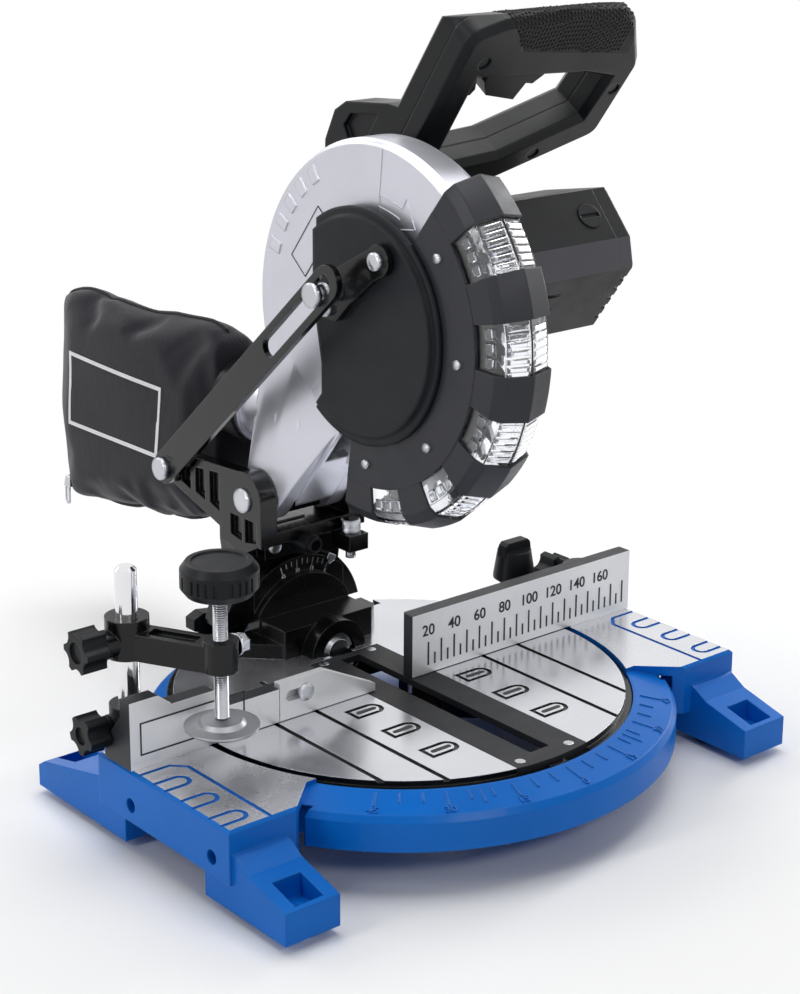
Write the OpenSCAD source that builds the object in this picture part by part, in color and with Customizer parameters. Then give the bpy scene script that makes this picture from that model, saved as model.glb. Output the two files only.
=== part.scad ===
// Compound mitre saw: base with turntable, tilting arm, chop head with guards, work clamp and dust bag.

/* [Base] */
// Height of the table surface above the bench
table_height = 50; // [49:0.5:53]
// Half width over the side tables
side_half = 186; // [184:1:190]
// Turntable axis to the front edge of the side tables
side_front = 90.5; // [88:0.5:93]
// Turntable axis to the rear edge of the side tables
side_rear = 30; // [29:0.5:32]
// Wall thickness of the base casting
base_wall = 5; // [4:0.5:6]
// Diameter of the bench bolt holes
bench_hole = 8.5; // [7:0.5:9]
// Diameter of the support bar bores
bar_bore = 8.2; // [7:0.1:9]

/* [Turntable] */
// Radius of the machined turntable top
table_radius = 130.5; // [128:0.5:131]
// Half width of the kerf plate
kerf_half = 25.5; // [22:0.5:27]
// Width of the slot in the kerf plate
kerf_slot = 14; // [12:1:16]

/* [Fence] */
// Height of the fence above the table
fence_height = 38.5; // [36:0.5:42]
// Turntable axis to the fence face
fence_face = 2.3; // [2:0.1:3]
// Depth of the fence foot
fence_depth = 25; // [24:0.5:27]
// Gap between the kerf line and the right fence
fence_inner = 7.8; // [7:0.2:9]
// Clearance of the turned blade at the inner end of the right fence
turn_relief = 2.2; // [2:0.1:3]

/* [Head] */
// Head pivot behind the turntable axis
pivot_y = 98; // [97:0.5:100]
// Head pivot above the table
pivot_up = 93; // [92:0.5:95]
// Arbor behind the turntable axis with the head up
arbor_y = 10; // [9:0.5:11]
// Arbor above the table with the head up
arbor_up = 213; // [212:0.5:215]
// Diameter of the saw blade
blade_dia = 200; // [196:1:202]
// Thickness of the saw blade at the teeth
blade_thick = 2.6; // [2.2:0.1:2.8]
// Number of teeth of the blade
blade_teeth = 48; // [24:2:60]
// Downward travel of the head in degrees
head_travel = 55; // [54:0.5:56]

/* [Guard] */
// Radius of the lower guard at its ridge
guard_ridge = 118; // [117.5:0.5:119]
// Radius of the guard hub plate
hub_radius = 67; // [64:0.5:68]
// Number of ribs of the guard frame
guard_ribs = 6; // [5:1:7]
// Width of the guard link bar
link_width = 20; // [19:0.5:22]

/* [Motor] */
// Half width of the motor housing
motor_half = 40; // [39:0.5:41]
// Length of the motor housing
motor_len = 76; // [74:1:80]
// Teeth of the gear on the arbor
gear_teeth = 42;
// Teeth of the motor pinion
pinion_teeth = 9;

/* [Handle] */
// Thickness of the handle
handle_thick = 30; // [28:0.5:31]
// Edge chamfer of the handle
handle_edge = 4; // [3:0.5:5]

/* [Clamp] */
// Diameter of the clamp post
post_dia = 12; // [11:0.5:12.5]
// Diameter of the clamp spindle
spindle_dia = 8; // [7:0.5:8]
// Diameter of the clamp hand wheel
wheel_dia = 41.5; // [38:0.5:42]
// Diameter of the clamp pad
pad_dia = 40.5; // [36:0.5:42]

/* [Return spring] */
// Turns of the return spring
spring_turns = 5; // [4:0.5:5.5]
// Wire diameter of the return spring
spring_wire = 2.8; // [2.4:0.1:3]

/* [Clearances] */
// Radial clearance of a running fit
run_fit = 0.06; // [0.03:0.01:0.09]
// Gap between faces that pass each other
pass_gap = 0.4; // [0.35:0.05:0.6]

/* [Hidden] */

T = table_height;
pivot_z = T + pivot_up;
arbor_z = T + arbor_up;
blade_r = blade_dia / 2;
skirt_z = 20;
floor_z = 27;
ledge_z = 30;
well_r = table_radius + 4.5;
ring_r = well_r + 25;
rear_ring_r = well_r + 11;
foot_z = 4.5;
bench_x = 167;
bench_front = -123;
bench_rear = 83;
spigot_r = 14;
tunnel_y = 90;
ledge_front = tunnel_y - 24;
scale_y = tunnel_y + 5;
scale_r = 50;
scale_zero = -28;
yoke_y = tunnel_y + 12 + pass_gap;
yoke_back = yoke_y + 20;
slide_end = -88;
slide_tip = -20;
slide_rest = -70.5;
slide_travel = 10;
mitre_x = 123;
mitre_y = 36;
ear_out = 39;
ear_in = 27;
ear_r = 17.5;
shaft_r = 6;
bevel_r = 8;
link_y = 172;
link_z = pivot_z + 3;
link_pin_r = 22;
link_pin_a = 65;
pin_y = arbor_y + link_pin_r * cos(link_pin_a);
pin_z = arbor_z + link_pin_r * sin(link_pin_a);
link_len = norm([pin_y - link_y, pin_z - link_z]);
link_a = atan2(pin_z - link_z, pin_y - link_y);
link_x = -ear_out - 6.2;
shell_half = 14;
shell_r = blade_r + 3;
shell_in = blade_r + 1.2;
boss_r = 24;
gear_dist = (gear_teeth + pinion_teeth) / 2;
motor_a = 108;
motor_y = arbor_y + gear_dist * cos(motor_a);
motor_z = arbor_z + gear_dist * sin(motor_a);
case_x = 50;
cap_x = case_x + motor_len;
motor_end = cap_x + 16;
// Faces of the motor outline: direction from the motor axis and distance over the half width
motor_faces = [[139.5, 2], [169.3, 4.6], [216.9, -1.4], [276.7, 0.8], [312.7, -2], [351.3, 1.8], [398.5, 1],
    [439.8, -4.5]];
brush_a = motor_faces[0][0];
stator_r = motor_half - 9;
post_x = -169;
post_y = 24;
post_top = T + 104;
rod_x = -143;
rod_y = -25;
arm_z0 = T + 54;
arm_z1 = T + 71;
pad_z = T + 21;
wheel_z0 = T + 97;
wheel_z1 = T + 115;

blue = [0.04, 0.36, 0.72];
silver = [0.74, 0.75, 0.78];
bright = [0.86, 0.87, 0.88];
black = [0.06, 0.06, 0.07];
charcoal = [0.16, 0.16, 0.18];
steel = [0.66, 0.67, 0.69];
rubber = [0.05, 0.05, 0.05];
clear = [0.85, 0.9, 0.95, 0.35];

// Cylinder along X from x0 to x1
module cyl_x(x0, x1, y, z, r, fn = 64)
    translate([x0, y, z]) rotate([0, 90, 0]) cylinder(r = r, h = x1 - x0, $fn = fn);

// Cylinder along Y from y0 to y1
module cyl_y(y0, y1, x, z, r, fn = 64)
    translate([x, y0, z]) rotate([-90, 0, 0]) cylinder(r = r, h = y1 - y0, $fn = fn);

// Cylinder along Z from z0 to z1
module cyl_z(z0, z1, x, y, r, fn = 64)
    translate([x, y, z0]) cylinder(r = r, h = z1 - z0, $fn = fn);

// Block between two corners
module block(a, b)
    translate(a) cube([b[0] - a[0], b[1] - a[1], b[2] - a[2]]);

// Profile in Y and Z pushed along X from x0 to x1
module push_x(x0, x1)
    translate([x0, 0, 0]) rotate([90, 0, 90]) linear_extrude(height = x1 - x0) children();

// Profile in X and Z pushed along Y from y0 to y1
module push_y(y0, y1)
    translate([0, y1, 0]) rotate([90, 0, 0]) linear_extrude(height = y1 - y0) children();

// Profile in radius and X turned about the arbor from angle a0 to a1, measured from the rear upwards
module turn_arbor(a0, a1, fn = 160)
    translate([0, arbor_y, arbor_z]) rotate([a0, 0, 0]) rotate([90, 0, 90])
        rotate_extrude(angle = a1 - a0, $fn = fn) children();

// Hexagon head along Z
module hex_z(z0, z1, x, y, across)
    translate([x, y, z0]) cylinder(r = across / sqrt(3), h = z1 - z0, $fn = 6);

// Knob with lobes about Z from z0 to z1
module lobed(z0, z1, r, lobes, dip)
    difference() {
        cyl_z(z0, z1, 0, 0, r);
        for (i = [0 : lobes - 1])
            rotate([0, 0, i * 360 / lobes])
                cyl_z(z0 - 1, z1 + 1, r + dip, 0, 2 * dip, 24);
    }

// Stadium outline groove of depth d cut from the face at height z
module stadium_groove(x, y, z, len, wide, line, d)
    translate([x, y, z - d]) linear_extrude(height = d + 1) difference() {
        square_end(len, wide);
        square_end(len - 2 * line, wide - 2 * line);
    }

// Rectangle with one round end towards +X
module square_end(len, wide) {
    translate([-len / 2, -wide / 2]) square([len - wide / 2, wide]);
    translate([len / 2 - wide / 2, 0]) circle(d = wide, $fn = 32);
}

// Feet outlines in Y and Z
module front_foot_side()
    polygon([[-66, foot_z], [-134, foot_z], [-134, T - 28], [-103, T - 20], [-93, T - 14], [-84, T - 10],
        [-66, T - 10]]);

module rear_foot_side()
    polygon([[8, foot_z], [97, foot_z], [97, T - 33], [91, T - 29], [29, T - 15], [20, T - 10], [8, T - 10]]);

module base_casting()
    color(blue) difference() {
        union() {
            difference() {
                union() {
                    for (s = [-1, 1])
                        wing(s);
                    intersection() {
                        rotate_extrude($fn = 160)
                            polygon([[well_r - 2, skirt_z + 4], [ring_r, skirt_z + 4], [ring_r, T - 10],
                                [ring_r - 2.5, scale_ring_out], [well_r + 1.5, scale_ring_in],
                                [well_r - 2, scale_ring_in]]);
                        block([-ring_r, -ring_r, 0], [ring_r, -40, T]);
                    }
                    cyl_z(skirt_z, T - 16, 0, 0, rear_ring_r, 160);
                }
                // hollow underside of the side tables
                difference() {
                    for (s = [-1, 1])
                        translate([s * (side_half - base_wall + 110) / 2, (side_rear - side_front) / 2, 20])
                            cube([side_half - base_wall - 110, side_front + side_rear - 2 * base_wall,
                                2 * (T - 26)], center = true);
                    cyl_z(0, T, 0, 0, well_r + base_wall, 160);
                }
                // hollow underside of the front ring
                difference() {
                    cyl_z(0, T - 14, 0, 0, ring_r - base_wall, 160);
                    cyl_z(-1, T, 0, 0, well_r + base_wall, 160);
                    block([-ring_r, -60, -1], [ring_r, ring_r, T]);
                    for (s = [-1, 1])
                        block([s * 120 - 20, -side_front - 2, -1], [s * 120 + 20, 0, T]);
                }
            }
            for (s = [-1, 1]) {
                push_x(s * bench_x - 17, s * bench_x + 17) front_foot_side();
                push_x(s * bench_x - 17, s * bench_x + 17) rear_foot_side();
                // bosses of the support bar bores
                for (y = [-1, -75])
                    cyl_x(s > 0 ? 148 : -side_half + 1, s > 0 ? side_half - 1 : -148, y, T - 20, 8.5);
            }
            // raised marks of the mitre scale
            for (a = [-45 : 5 : 45])
                mitre_mark(a, a % 15 == 0 ? 12 : 8);
            for (a = [-22.5, 22.5])
                mitre_mark(a, 12);
        }
        // well and openings of the floor
        cyl_z(floor_z, T + 20, 0, 0, well_r, 160);
        for (i = [0 : 3])
            rotate([0, 0, 45 + 90 * i]) difference() {
                cyl_z(0, floor_z + 1, 0, 0, 112, 96);
                cyl_z(-1, floor_z + 2, 0, 0, 36, 64);
                for (a = [-45, 45])
                    rotate([0, 0, a]) block([-120, -9, -2], [120, 9, floor_z + 3]);
                block([-120, -120, -2], [0, 120, floor_z + 3]);
            }
        cyl_z(0, T, 0, 0, spigot_r + run_fit);
        // bench bolt holes in recessed seats
        for (s = [-1, 1]) {
            cyl_z(0, T, s * bench_x, bench_front, bench_hole / 2);
            cyl_z(0, T, s * bench_x, bench_rear, bench_hole / 2);
            block([s * bench_x - 9, bench_front - 8, T - 35], [s * bench_x + 9, bench_front + 11, T]);
            block([s * bench_x - 9, bench_rear - 12, T - 36], [s * bench_x + 9, bench_rear + 9, T]);
            // support bar bores
            for (y = [-1, -75])
                cyl_x(s > 0 ? 147 : -side_half - 1, s > 0 ? side_half + 1 : -147, y, T - 20, bar_bore / 2);
            // sunk outlines of the side tables
            translate([0, 0, T - 0.8]) linear_extrude(height = 2) {
                for (y = [-27.5, -52.5, -77.5])
                    translate([s * (side_half - 8), y]) mirror([s > 0 ? 1 : 0, 0]) difference() {
                        square_end(24, 13);
                        translate([-2.6, 0]) square_end(24, 7.8);
                    }
                table_line([s * (side_half + 2), -8.8], [s * (side_half - 20), -8.8]);
                table_line([s * (side_half - 20), -8.8], [s * (side_half - 27), -16]);
                table_line([s * (side_half - 27), -16], [s * (side_half - 27), -side_front - 2]);
            }
        }
    }

scale_ring_in = T - 2.6;
scale_ring_out = T - 6.4;
scale_ring_tilt = atan2(scale_ring_in - scale_ring_out, ring_r - well_r - 4);

// Raised mark of the mitre scale at angle a from the front
module mitre_mark(a, len)
    rotate([0, 0, a - 90]) translate([well_r + 4, 0, scale_ring_in - 2.5 * tan(scale_ring_tilt)])
        rotate([0, scale_ring_tilt, 0]) block([0, -0.5, -1], [len, 0.5, 0.6]);

// Side table on side s with bevelled rims
module wing(s)
    difference() {
        translate([0, 0, skirt_z]) linear_extrude(height = T - skirt_z)
            polygon([[s * 100, side_rear], [s * side_half, side_rear], [s * side_half, -side_front],
                [s * (side_half - 42), -side_front], [s * (well_r - 13), -well_r * 0.52],
                [s * 100, -well_r * 0.52]]);
        translate([s * side_half, 0, T]) rotate([0, 45, 0]) cube([2.4, 400, 2.4], center = true);
        translate([0, -side_front, T]) rotate([45, 0, 0]) cube([500, 2.4, 2.4], center = true);
        translate([0, side_rear, T]) rotate([45, 0, 0]) cube([500, 2.4, 2.4], center = true);
    }

// Line of the side table between two points
module table_line(p, q)
    translate(p) rotate(atan2(q[1] - p[1], q[0] - p[0])) translate([0, -1.2])
        square([norm(q - p) + 0.6, 2.4]);

module rubber_feet()
    color(rubber) for (s = [-1, 1])
        for (y = [-94, 50])
            cyl_z(0, foot_z, s * bench_x, y, 12);

// Cross-section of the fence in Y and Z from height z0
module fence_section(z0, h)
    polygon([[-fence_face, z0], [fence_depth - fence_face, z0], [fence_depth - fence_face, T + 9],
        [7, T + min(h - 8, 28)], [7, T + h], [-fence_face, T + h]]);

// Post socket of the fence on side s
module post_boss(s)
    difference() {
        union() {
            cyl_z(T, T + 26, s * -post_x, post_y, 11);
            if (s < 0)
                cyl_x(post_x - 13, post_x, post_y, T + 15, 7);
            else
                cyl_y(post_y, post_y + 13, -post_x, T + 15, 7);
        }
        post_bores(s);
    }

// Bores of the post and of its lock screw on side s
module post_bores(s) {
    cyl_z(T + 3, T + 60, s * -post_x, post_y, post_dia / 2 + run_fit);
    if (s < 0)
        cyl_x(post_x - 20, post_x, post_y, T + 15, 4 + run_fit);
    else
        cyl_y(post_y, post_y + 20, -post_x, T + 15, 4 + run_fit);
}

// Clearance of the fence over the turntable
module over_table()
    cyl_z(T - 1, T + pass_gap, 0, 0, well_r + 1, 160);

module fence_left()
    color(bright) difference() {
        union() {
            push_x(-side_half, -160) fence_section(T, fence_height);
            push_x(-160, -122) fence_section(T, fence_height - 7);
            push_x(-122, slide_end + 30) fence_section(T, 20);
            post_boss(-1);
        }
        post_bores(-1);
        over_table();
        push_y(-fence_face - 1, fence_depth)
            polygon([[-132, T + 50], [-132, T + fence_height - 7], [-121, T + 20], [-56, T + 20], [-56, T + 50]]);
        push_y(-fence_face - 1, fence_depth)
            polygon([[-168, T + fence_height], [-159, T + fence_height - 7], [-159, T + 60], [-168, T + 60]]);
        // seat of the sliding piece
        block([slide_end - pass_gap, -fence_face - 1, T - 1], [slide_end + 40, 3, T + 40]);
        for (x = [-150, -140])
            cyl_z(T - 1, T + 30, x, 15, 4.2);
        cyl_x(-side_half - 1, post_x - 13, post_y, T + 15, 6.6);
    }

module fence_right()
    color(bright) difference() {
        union() {
            push_x(fence_inner, side_half) fence_section(T, fence_height);
            post_boss(1);
            // lug of the turntable lock
            block([mitre_x - 11, 15, T], [mitre_x + 11, mitre_y + 11, T + 12]);
        }
        post_bores(1);
        over_table();
        cyl_z(T - 1, T + 20, mitre_x, mitre_y, 5 + run_fit);
        for (x = [140, 150])
            cyl_z(T - 1, T + 30, x, 15, 4.2);
        // pockets behind the face
        for (x = [20, 66])
            block([x, 9, T + 8], [x + 38, fence_depth, T + 40]);
        // end relieved for the blade when the table is turned
        translate([0, 0, T - 1]) linear_extrude(fence_height + 2)
            polygon([[fence_inner - 1, fence_inner - 1 - turn_relief], [fence_inner - 1, fence_depth + 5],
                [fence_depth + 5 + turn_relief, fence_depth + 5]]);
    }

module fence_bolts()
    color(steel) for (x = [-150, -140, 140, 150])
        cyl_z(T, T + 9, x, 15, 3.4, 32);

// Low fence piece beside the blade, slides along X
module sliding_fence()
    color(bright) difference() {
        push_y(-fence_face, 3 - pass_gap)
            polygon([[slide_end, T + pass_gap], [slide_end, T + 23], [slide_end + 32, T + 23],
                [slide_tip, T + 5], [slide_tip, T + pass_gap]]);
        for (x = [slide_rest - slide_travel, slide_rest])
            cyl_y(-fence_face - 1, 4, x, T + 14, 3.2);
        block([slide_rest - slide_travel, -fence_face - 1, T + 10.8], [slide_rest, 4, T + 17.2]);
    }

module slide_screw()
    color(steel) {
        cyl_y(-fence_face - 1.8, -fence_face, slide_rest, T + 14, 5, 48);
        cyl_y(-fence_face, 3, slide_rest, T + 14, 2.6, 48);
    }

// Wing knob along Z with its stud
module post_knob() {
    cyl_z(post_dia / 2 + pass_gap, 19, 0, 0, 4);
    difference() {
        lobed(18, 31, 11, 5, 3);
        cyl_z(29.5, 32, 0, 0, 5);
    }
    cyl_z(13 + pass_gap, 18, 0, 0, 6);
}

module post_lock_left()
    color(black) translate([post_x, post_y, T + 15]) rotate([0, -90, 0]) post_knob();

module post_lock_right()
    color(black) translate([-post_x, post_y, T + 15]) rotate([-90, 0, 0]) post_knob();

module mitre_lock_knob()
    color(black) translate([mitre_x, mitre_y, 0]) {
        cyl_z(T + pass_gap, T + 23, 0, 0, 5);
        cyl_z(T + 12 + pass_gap, T + 15, 0, 0, 8);
        translate([0, 0, T + 22]) rotate_extrude($fn = 64)
            polygon([[0, 0], [9, 0], [13, 3], [13, 5], [10.5, 21], [0, 21]]);
        push_y(-3.5, 3.5)
            polygon([[-11, T + 40], [11, T + 40], [10, T + 47], [8, T + 49], [-8, T + 49], [-10, T + 47]]);
    }

module turntable()
    color(silver) difference() {
        union() {
            cyl_z(ledge_z, T - 3.5, 0, 0, well_r - 0.6, 160);
            cyl_z(ledge_z, T, 0, 0, table_radius, 160);
            cyl_z(skirt_z, ledge_z + 1, 0, 0, spigot_r);
            // stand of the tilt joint: arched wall, scale wall, ledge and boss
            push_y(tunnel_y, tunnel_y + 12) arch(scale_r - 10);
            push_y(scale_y, tunnel_y + 12) arch(scale_r);
            block([-33, ledge_front, T - 1], [33, tunnel_y + 1, T + 18]);
            for (s = [-1, 1])
                push_z(T - 1, T + 9) polygon([[s * 32, ledge_front + 1], [s * 32, tunnel_y + 10],
                    [s * 52, tunnel_y + 10], [s * 52, ledge_front + 21]]);
            cyl_y(ledge_front - 10, ledge_front + 1, 0, T, 20);
        }
        // hollow underside around the hub
        difference() {
            cyl_z(ledge_z - 1, T - 8, 0, 0, table_radius - 8, 128);
            cyl_z(0, T, 0, 0, spigot_r + 8);
            for (a = [45, 135])
                rotate([0, 0, a]) block([-table_radius, -3, 0], [table_radius, 3, T]);
            block([-45, ledge_front - 12, 0], [45, table_radius, T]);
        }
        // kerf plate seat and blade channel
        block([-kerf_half - 0.2, -table_radius - 5, T - 4], [kerf_half + 0.2, 52, T + 1]);
        block([-19, -118, ledge_z + 2.5], [19, 46, T]);
        // open rear where the arm tilts
        block([-70, tunnel_y + 12, skirt_z], [70, table_radius + 10, T + 1]);
        cyl_y(ledge_front - 20, tunnel_y + 20, 0, T, bevel_r + 0.01);
        cyl_y(ledge_front - 11, ledge_front - 5, 0, T, 12);
        // sunk lines and marks
        for (s = [-1, 1]) {
            for (x = [63, 91])
                block([s * x - 1.5, -table_radius, T - 1], [s * x + 1.5, tunnel_y - 40, T + 1]);
            for (y = [-20, -52, -84])
                stadium_groove(s * 41, y, T, 22, 13, 2.6, 0.8);
        }
        for (a = [0 : 5 : 45])
            translate([0, scale_y, T]) rotate([0, -a - scale_zero, 0])
                block([-0.45, -1, a % 15 == 0 ? scale_r - 8 : scale_r - 5.5], [0.45, 0.6, scale_r - 2]);
        cyl_z(skirt_z - 1, ledge_z + 2, 0, 0, 5 + run_fit);
    }

// Arched outline of the stand of the tilt joint
module arch(r)
    intersection() {
        translate([0, T]) circle(r = r, $fn = 96);
        translate([-34, ledge_z]) square([68, 80]);
    }

module pivot_bolt()
    color(steel) {
        cyl_z(skirt_z - 3, skirt_z - pass_gap, 0, 0, 20);
        cyl_z(skirt_z - pass_gap, skirt_z, 0, 0, 10);
        hex_z(skirt_z - 10, skirt_z - 3, 0, 0, 17);
        cyl_z(skirt_z, ledge_z + 1.5, 0, 0, 5);
    }

module kerf_plate()
    color(charcoal) difference() {
        intersection() {
            block([-kerf_half, -table_radius - 1, T - 4], [kerf_half, 51.6, T]);
            cyl_z(0, T + 1, 0, 0, table_radius, 160);
        }
        block([-kerf_slot / 2, -118, T - 5], [kerf_slot / 2, 46, T + 1]);
        for (s = [-1, 1])
            for (y = [-122, 48])
                translate([s * 18, y, T - 1.6]) cylinder(r1 = 1.7, r2 = 3.4, h = 1.8, $fn = 32);
    }

module kerf_screws()
    color(steel) for (s = [-1, 1])
        for (y = [-122, 48])
            translate([s * 18, y, T - 1.6]) cylinder(r1 = 1.6, r2 = 3.1, h = 1.5, $fn = 32);

module mitre_pointer()
    color(steel) translate([0, -table_radius, T - 3.5]) {
        linear_extrude(height = 0.8) polygon([[-6, -1], [6, -1], [6, -2.5], [1, -4], [-1, -4], [-6, -2.5]]);
        cyl_z(0.8, 1.8, 4, -1.8, 0.7, 24);
    }

// Ear of the tilting arm from x0 to x1
module ear(x0, x1)
    push_x(x0, x1) {
        translate([pivot_y, pivot_z]) circle(r = ear_r, $fn = 96);
        polygon([[pivot_y - ear_r, pivot_z], [pivot_y + ear_r, pivot_z], [pivot_y + ear_r, pivot_z - 30],
            [yoke_y, pivot_z - 36], [pivot_y - ear_r, pivot_z - 24]]);
    }

module tilt_arm()
    color(black) difference() {
        union() {
            // disc and column in front view
            push_y(yoke_y, yoke_back) {
                intersection() {
                    translate([0, T]) circle(r = scale_r + 3, $fn = 128);
                    translate([-60, T + 12]) square([120, 60]);
                }
                translate([0, T]) circle(r = 22, $fn = 96);
                polygon([[-22, T], [22, T], [36, T + 40], [ear_out, pivot_z - 30], [ear_out, pivot_z - 18],
                    [-ear_out, pivot_z - 18], [-ear_out, pivot_z - 30], [-36, T + 40]]);
            }
            // floor between the ears
            block([-ear_out, pivot_y - ear_r, pivot_z - 26], [ear_out, pivot_y + ear_r, pivot_z - 18]);
            ear(-ear_out, -ear_in);
            ear(ear_in, ear_out);
            // rear arm to the guard link
            push_x(-ear_out, -ear_out + 9) {
                polygon([[pivot_y, pivot_z + 17], [link_y, link_z + 10], [link_y, link_z - 10],
                    [pivot_y + 12, pivot_z - 26], [pivot_y, pivot_z - 24]]);
                translate([link_y, link_z]) circle(r = 10, $fn = 64);
            }
            // lug of the depth stop
            block([stop_x - 7, stop_y - 8, pivot_z - 36], [stop_x + 7, pivot_y - ear_r + 2, pivot_z - 26]);
            // seat of the laser
            block([-26, yoke_y - 8, T + scale_r + 3], [4, yoke_y + 1, T + 76]);
        }
        cyl_x(-ear_out - 1, ear_out + 1, pivot_y, pivot_z, shaft_r);
        cyl_y(yoke_y - 1, yoke_back + 1, 0, T, bevel_r + run_fit);
        cyl_x(-ear_out - 1, -ear_out + 20, link_y, link_z, 4);
        // ribbed pockets of the rear arm and the left ear
        for (i = [0 : 2])
            push_x(-ear_out - 1, -ear_out + 3)
                polygon([[pivot_y + 24 + 15 * i, pivot_z + 11 - 1.5 * i],
                    [pivot_y + 34 + 15 * i, pivot_z + 10 - 1.5 * i],
                    [pivot_y + 34 + 15 * i, pivot_z - 10 + 3 * i],
                    [pivot_y + 24 + 15 * i, pivot_z - 13 + 3 * i]]);
        for (s = [-1, 1])
            push_x(-ear_out - 1, -ear_out + 3)
                polygon([[pivot_y + s * 1.5, pivot_z - 11], [pivot_y + s * 13, pivot_z - 11],
                    [pivot_y + s * 13, pivot_z - 24], [pivot_y + s * 1.5, pivot_z - 26]]);
        cyl_y(laser_front, yoke_back - 4, laser_x, laser_z, laser_r + 0.02);
        cyl_z(pivot_z - 40, pivot_z - 20, stop_x, stop_y, 3.2);
    }

stop_x = 22;
stop_y = pivot_y - ear_r - 8;
laser_x = -6;
laser_z = T + 65;
laser_r = 6;
laser_front = yoke_y - 32;

module bevel_bolt()
    color(steel) {
        cyl_y(ledge_front - 10, yoke_back + 14, 0, T, bevel_r);
        cyl_y(ledge_front - 8, ledge_front - 5, 0, T, 11.5, 48);
    }

// Lock lever of the tilt joint, turns about Y
module bevel_lever()
    color(black) difference() {
        union() {
            cyl_y(yoke_back + pass_gap, yoke_back + 13, 0, T, 14);
            push_y(yoke_back + 3, yoke_back + 12)
                polygon([[2, T - 8], [-48, T + 1], [-57, T + 6], [-57, T + 13], [-50, T + 16], [0, T + 9]]);
        }
        cyl_y(yoke_back - 1, yoke_back + 20, 0, T, bevel_r + run_fit);
    }

module bevel_pointer()
    color(bright) translate([0, 0, T]) rotate([0, -scale_zero, 0]) {
        push_y(scale_y - pass_gap - 1.2, scale_y - pass_gap)
            polygon([[-3, scale_r + 2.4], [3, scale_r + 2.4], [3, scale_r - 1], [0.5, scale_r - 4],
                [-0.5, scale_r - 4], [-3, scale_r - 1]]);
        block([-3, scale_y - pass_gap - 1.2, scale_r + 0.8], [3, yoke_y, scale_r + 2.4]);
    }

module head_shaft()
    color(steel) {
        cyl_x(-ear_out - 1.6, ear_out + 1.6, pivot_y, pivot_z, shaft_r);
        for (s = [-1, 1])
            cyl_x(s > 0 ? ear_out : -ear_out - 1.6, s > 0 ? ear_out + 1.6 : -ear_out, pivot_y, pivot_z, 7.4);
        // sleeve inside the return spring
        cyl_x(-boss_in + pass_gap, boss_in - pass_gap, pivot_y, pivot_z, spring_core);
    }

// Path of the spring wire: straight tail, turns about the pivot, straight tail
spring_r = 13;
boss_in = 14.5;
spring_x0 = -boss_in + spring_wire / 2 + pass_gap;
spring_x1 = boss_in - spring_wire / 2 - pass_gap;
spring_tail = 8;
spring_core = spring_r * cos(22.5) - spring_wire / 2 - 0.3;
spring_steps = round(spring_turns * 8);
spring_end = 90 + spring_turns * 360;
function spring_coil(i) = let (a = 90 + i * 360 * spring_turns / spring_steps)
    [spring_x0 + (spring_x1 - spring_x0) * i / spring_steps, pivot_y + spring_r * cos(a),
        pivot_z + spring_r * sin(a)];
spring_path = concat([spring_coil(0) + [0, spring_tail, 0], spring_coil(0) + [0, spring_tail / 2, 0]],
    [for (i = [0 : spring_steps]) spring_coil(i)],
    [spring_coil(spring_steps) + spring_tail / 2 * [0, -sin(spring_end), cos(spring_end)],
        spring_coil(spring_steps) + spring_tail * [0, -sin(spring_end), cos(spring_end)]]);
function unit(v) = v / norm(v);
function path_dir(p, i) = unit(p[min(i + 1, len(p) - 1)] - p[max(i - 1, 0)]);
function path_ring(p, i, r) = let (t = path_dir(p, i), u = unit([1, 0, 0] - t * t[0]), v = cross(t, u))
    [for (k = [0 : 5]) p[i] + r * (cos(60 * k) * u + sin(60 * k) * v)];
spring_gap = min([for (i = [0 : len(spring_path) - 1]) for (j = [i + 5 : 1 : len(spring_path) - 1])
    norm(spring_path[i] - spring_path[j])]) - spring_wire;
echo(spring_gap = spring_gap);

// Unbroken tube of radius r along a path
module tube_along(p, r) {
    n = len(p);
    polyhedron(points = [for (i = [0 : n - 1]) for (q = path_ring(p, i, r)) q],
        faces = concat([for (k = [1 : 4]) [0, k, k + 1]],
            [for (i = [0 : n - 2]) for (k = [0 : 5])
                for (f = [0, 1]) let (a = 6 * i + k, b = 6 * i + (k + 1) % 6)
                    f == 0 ? [a, a + 6, b] : [b, a + 6, b + 6]],
            [for (k = [1 : 4]) [6 * (n - 1), 6 * (n - 1) + k + 1, 6 * (n - 1) + k]]));
}

module return_spring()
    color(charcoal) tube_along(spring_path, spring_wire / 2);

module laser_module()
    color(black) difference() {
        union() {
            cyl_y(laser_front + 3, yoke_back - 4, laser_x, laser_z, laser_r);
            cyl_y(laser_front, laser_front + 3, laser_x, laser_z, laser_r - 1.2);
        }
        cyl_y(laser_front - 1, laser_front + 2, laser_x, laser_z, 3.6);
    }

module laser_lens()
    color(clear) cyl_y(laser_front + 0.6, laser_front + 2, laser_x, laser_z, 3.58, 48);

module arm_screws()
    color(steel) {
        // depth stop bolt and its lock nut
        cyl_z(pivot_z - 42, pivot_z - 23.5, stop_x, stop_y, 3.18, 48);
        hex_z(pivot_z - 23.5, pivot_z - 18, stop_x, stop_y, 11);
        cyl_z(pivot_z - 26, pivot_z - 23.5, stop_x, stop_y, 6.2, 48);
        // screw of the laser seat
        cyl_y(yoke_y - 11, yoke_y - 8, -20, T + 61, 4.2, 48);
    }

// Head arm outline in Y and Z
module arm_side()
    polygon([[pivot_y + 13, arbor_z - 50], [pivot_y + 14, pivot_z + 6], [pivot_y + 10, pivot_z - 11],
        [pivot_y, pivot_z - 15], [pivot_y - 10, pivot_z - 14], [arbor_y + 28, arbor_z - 70],
        [arbor_y + 50, arbor_z - 20], [arbor_y + 96, arbor_z - 24]]);

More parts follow.
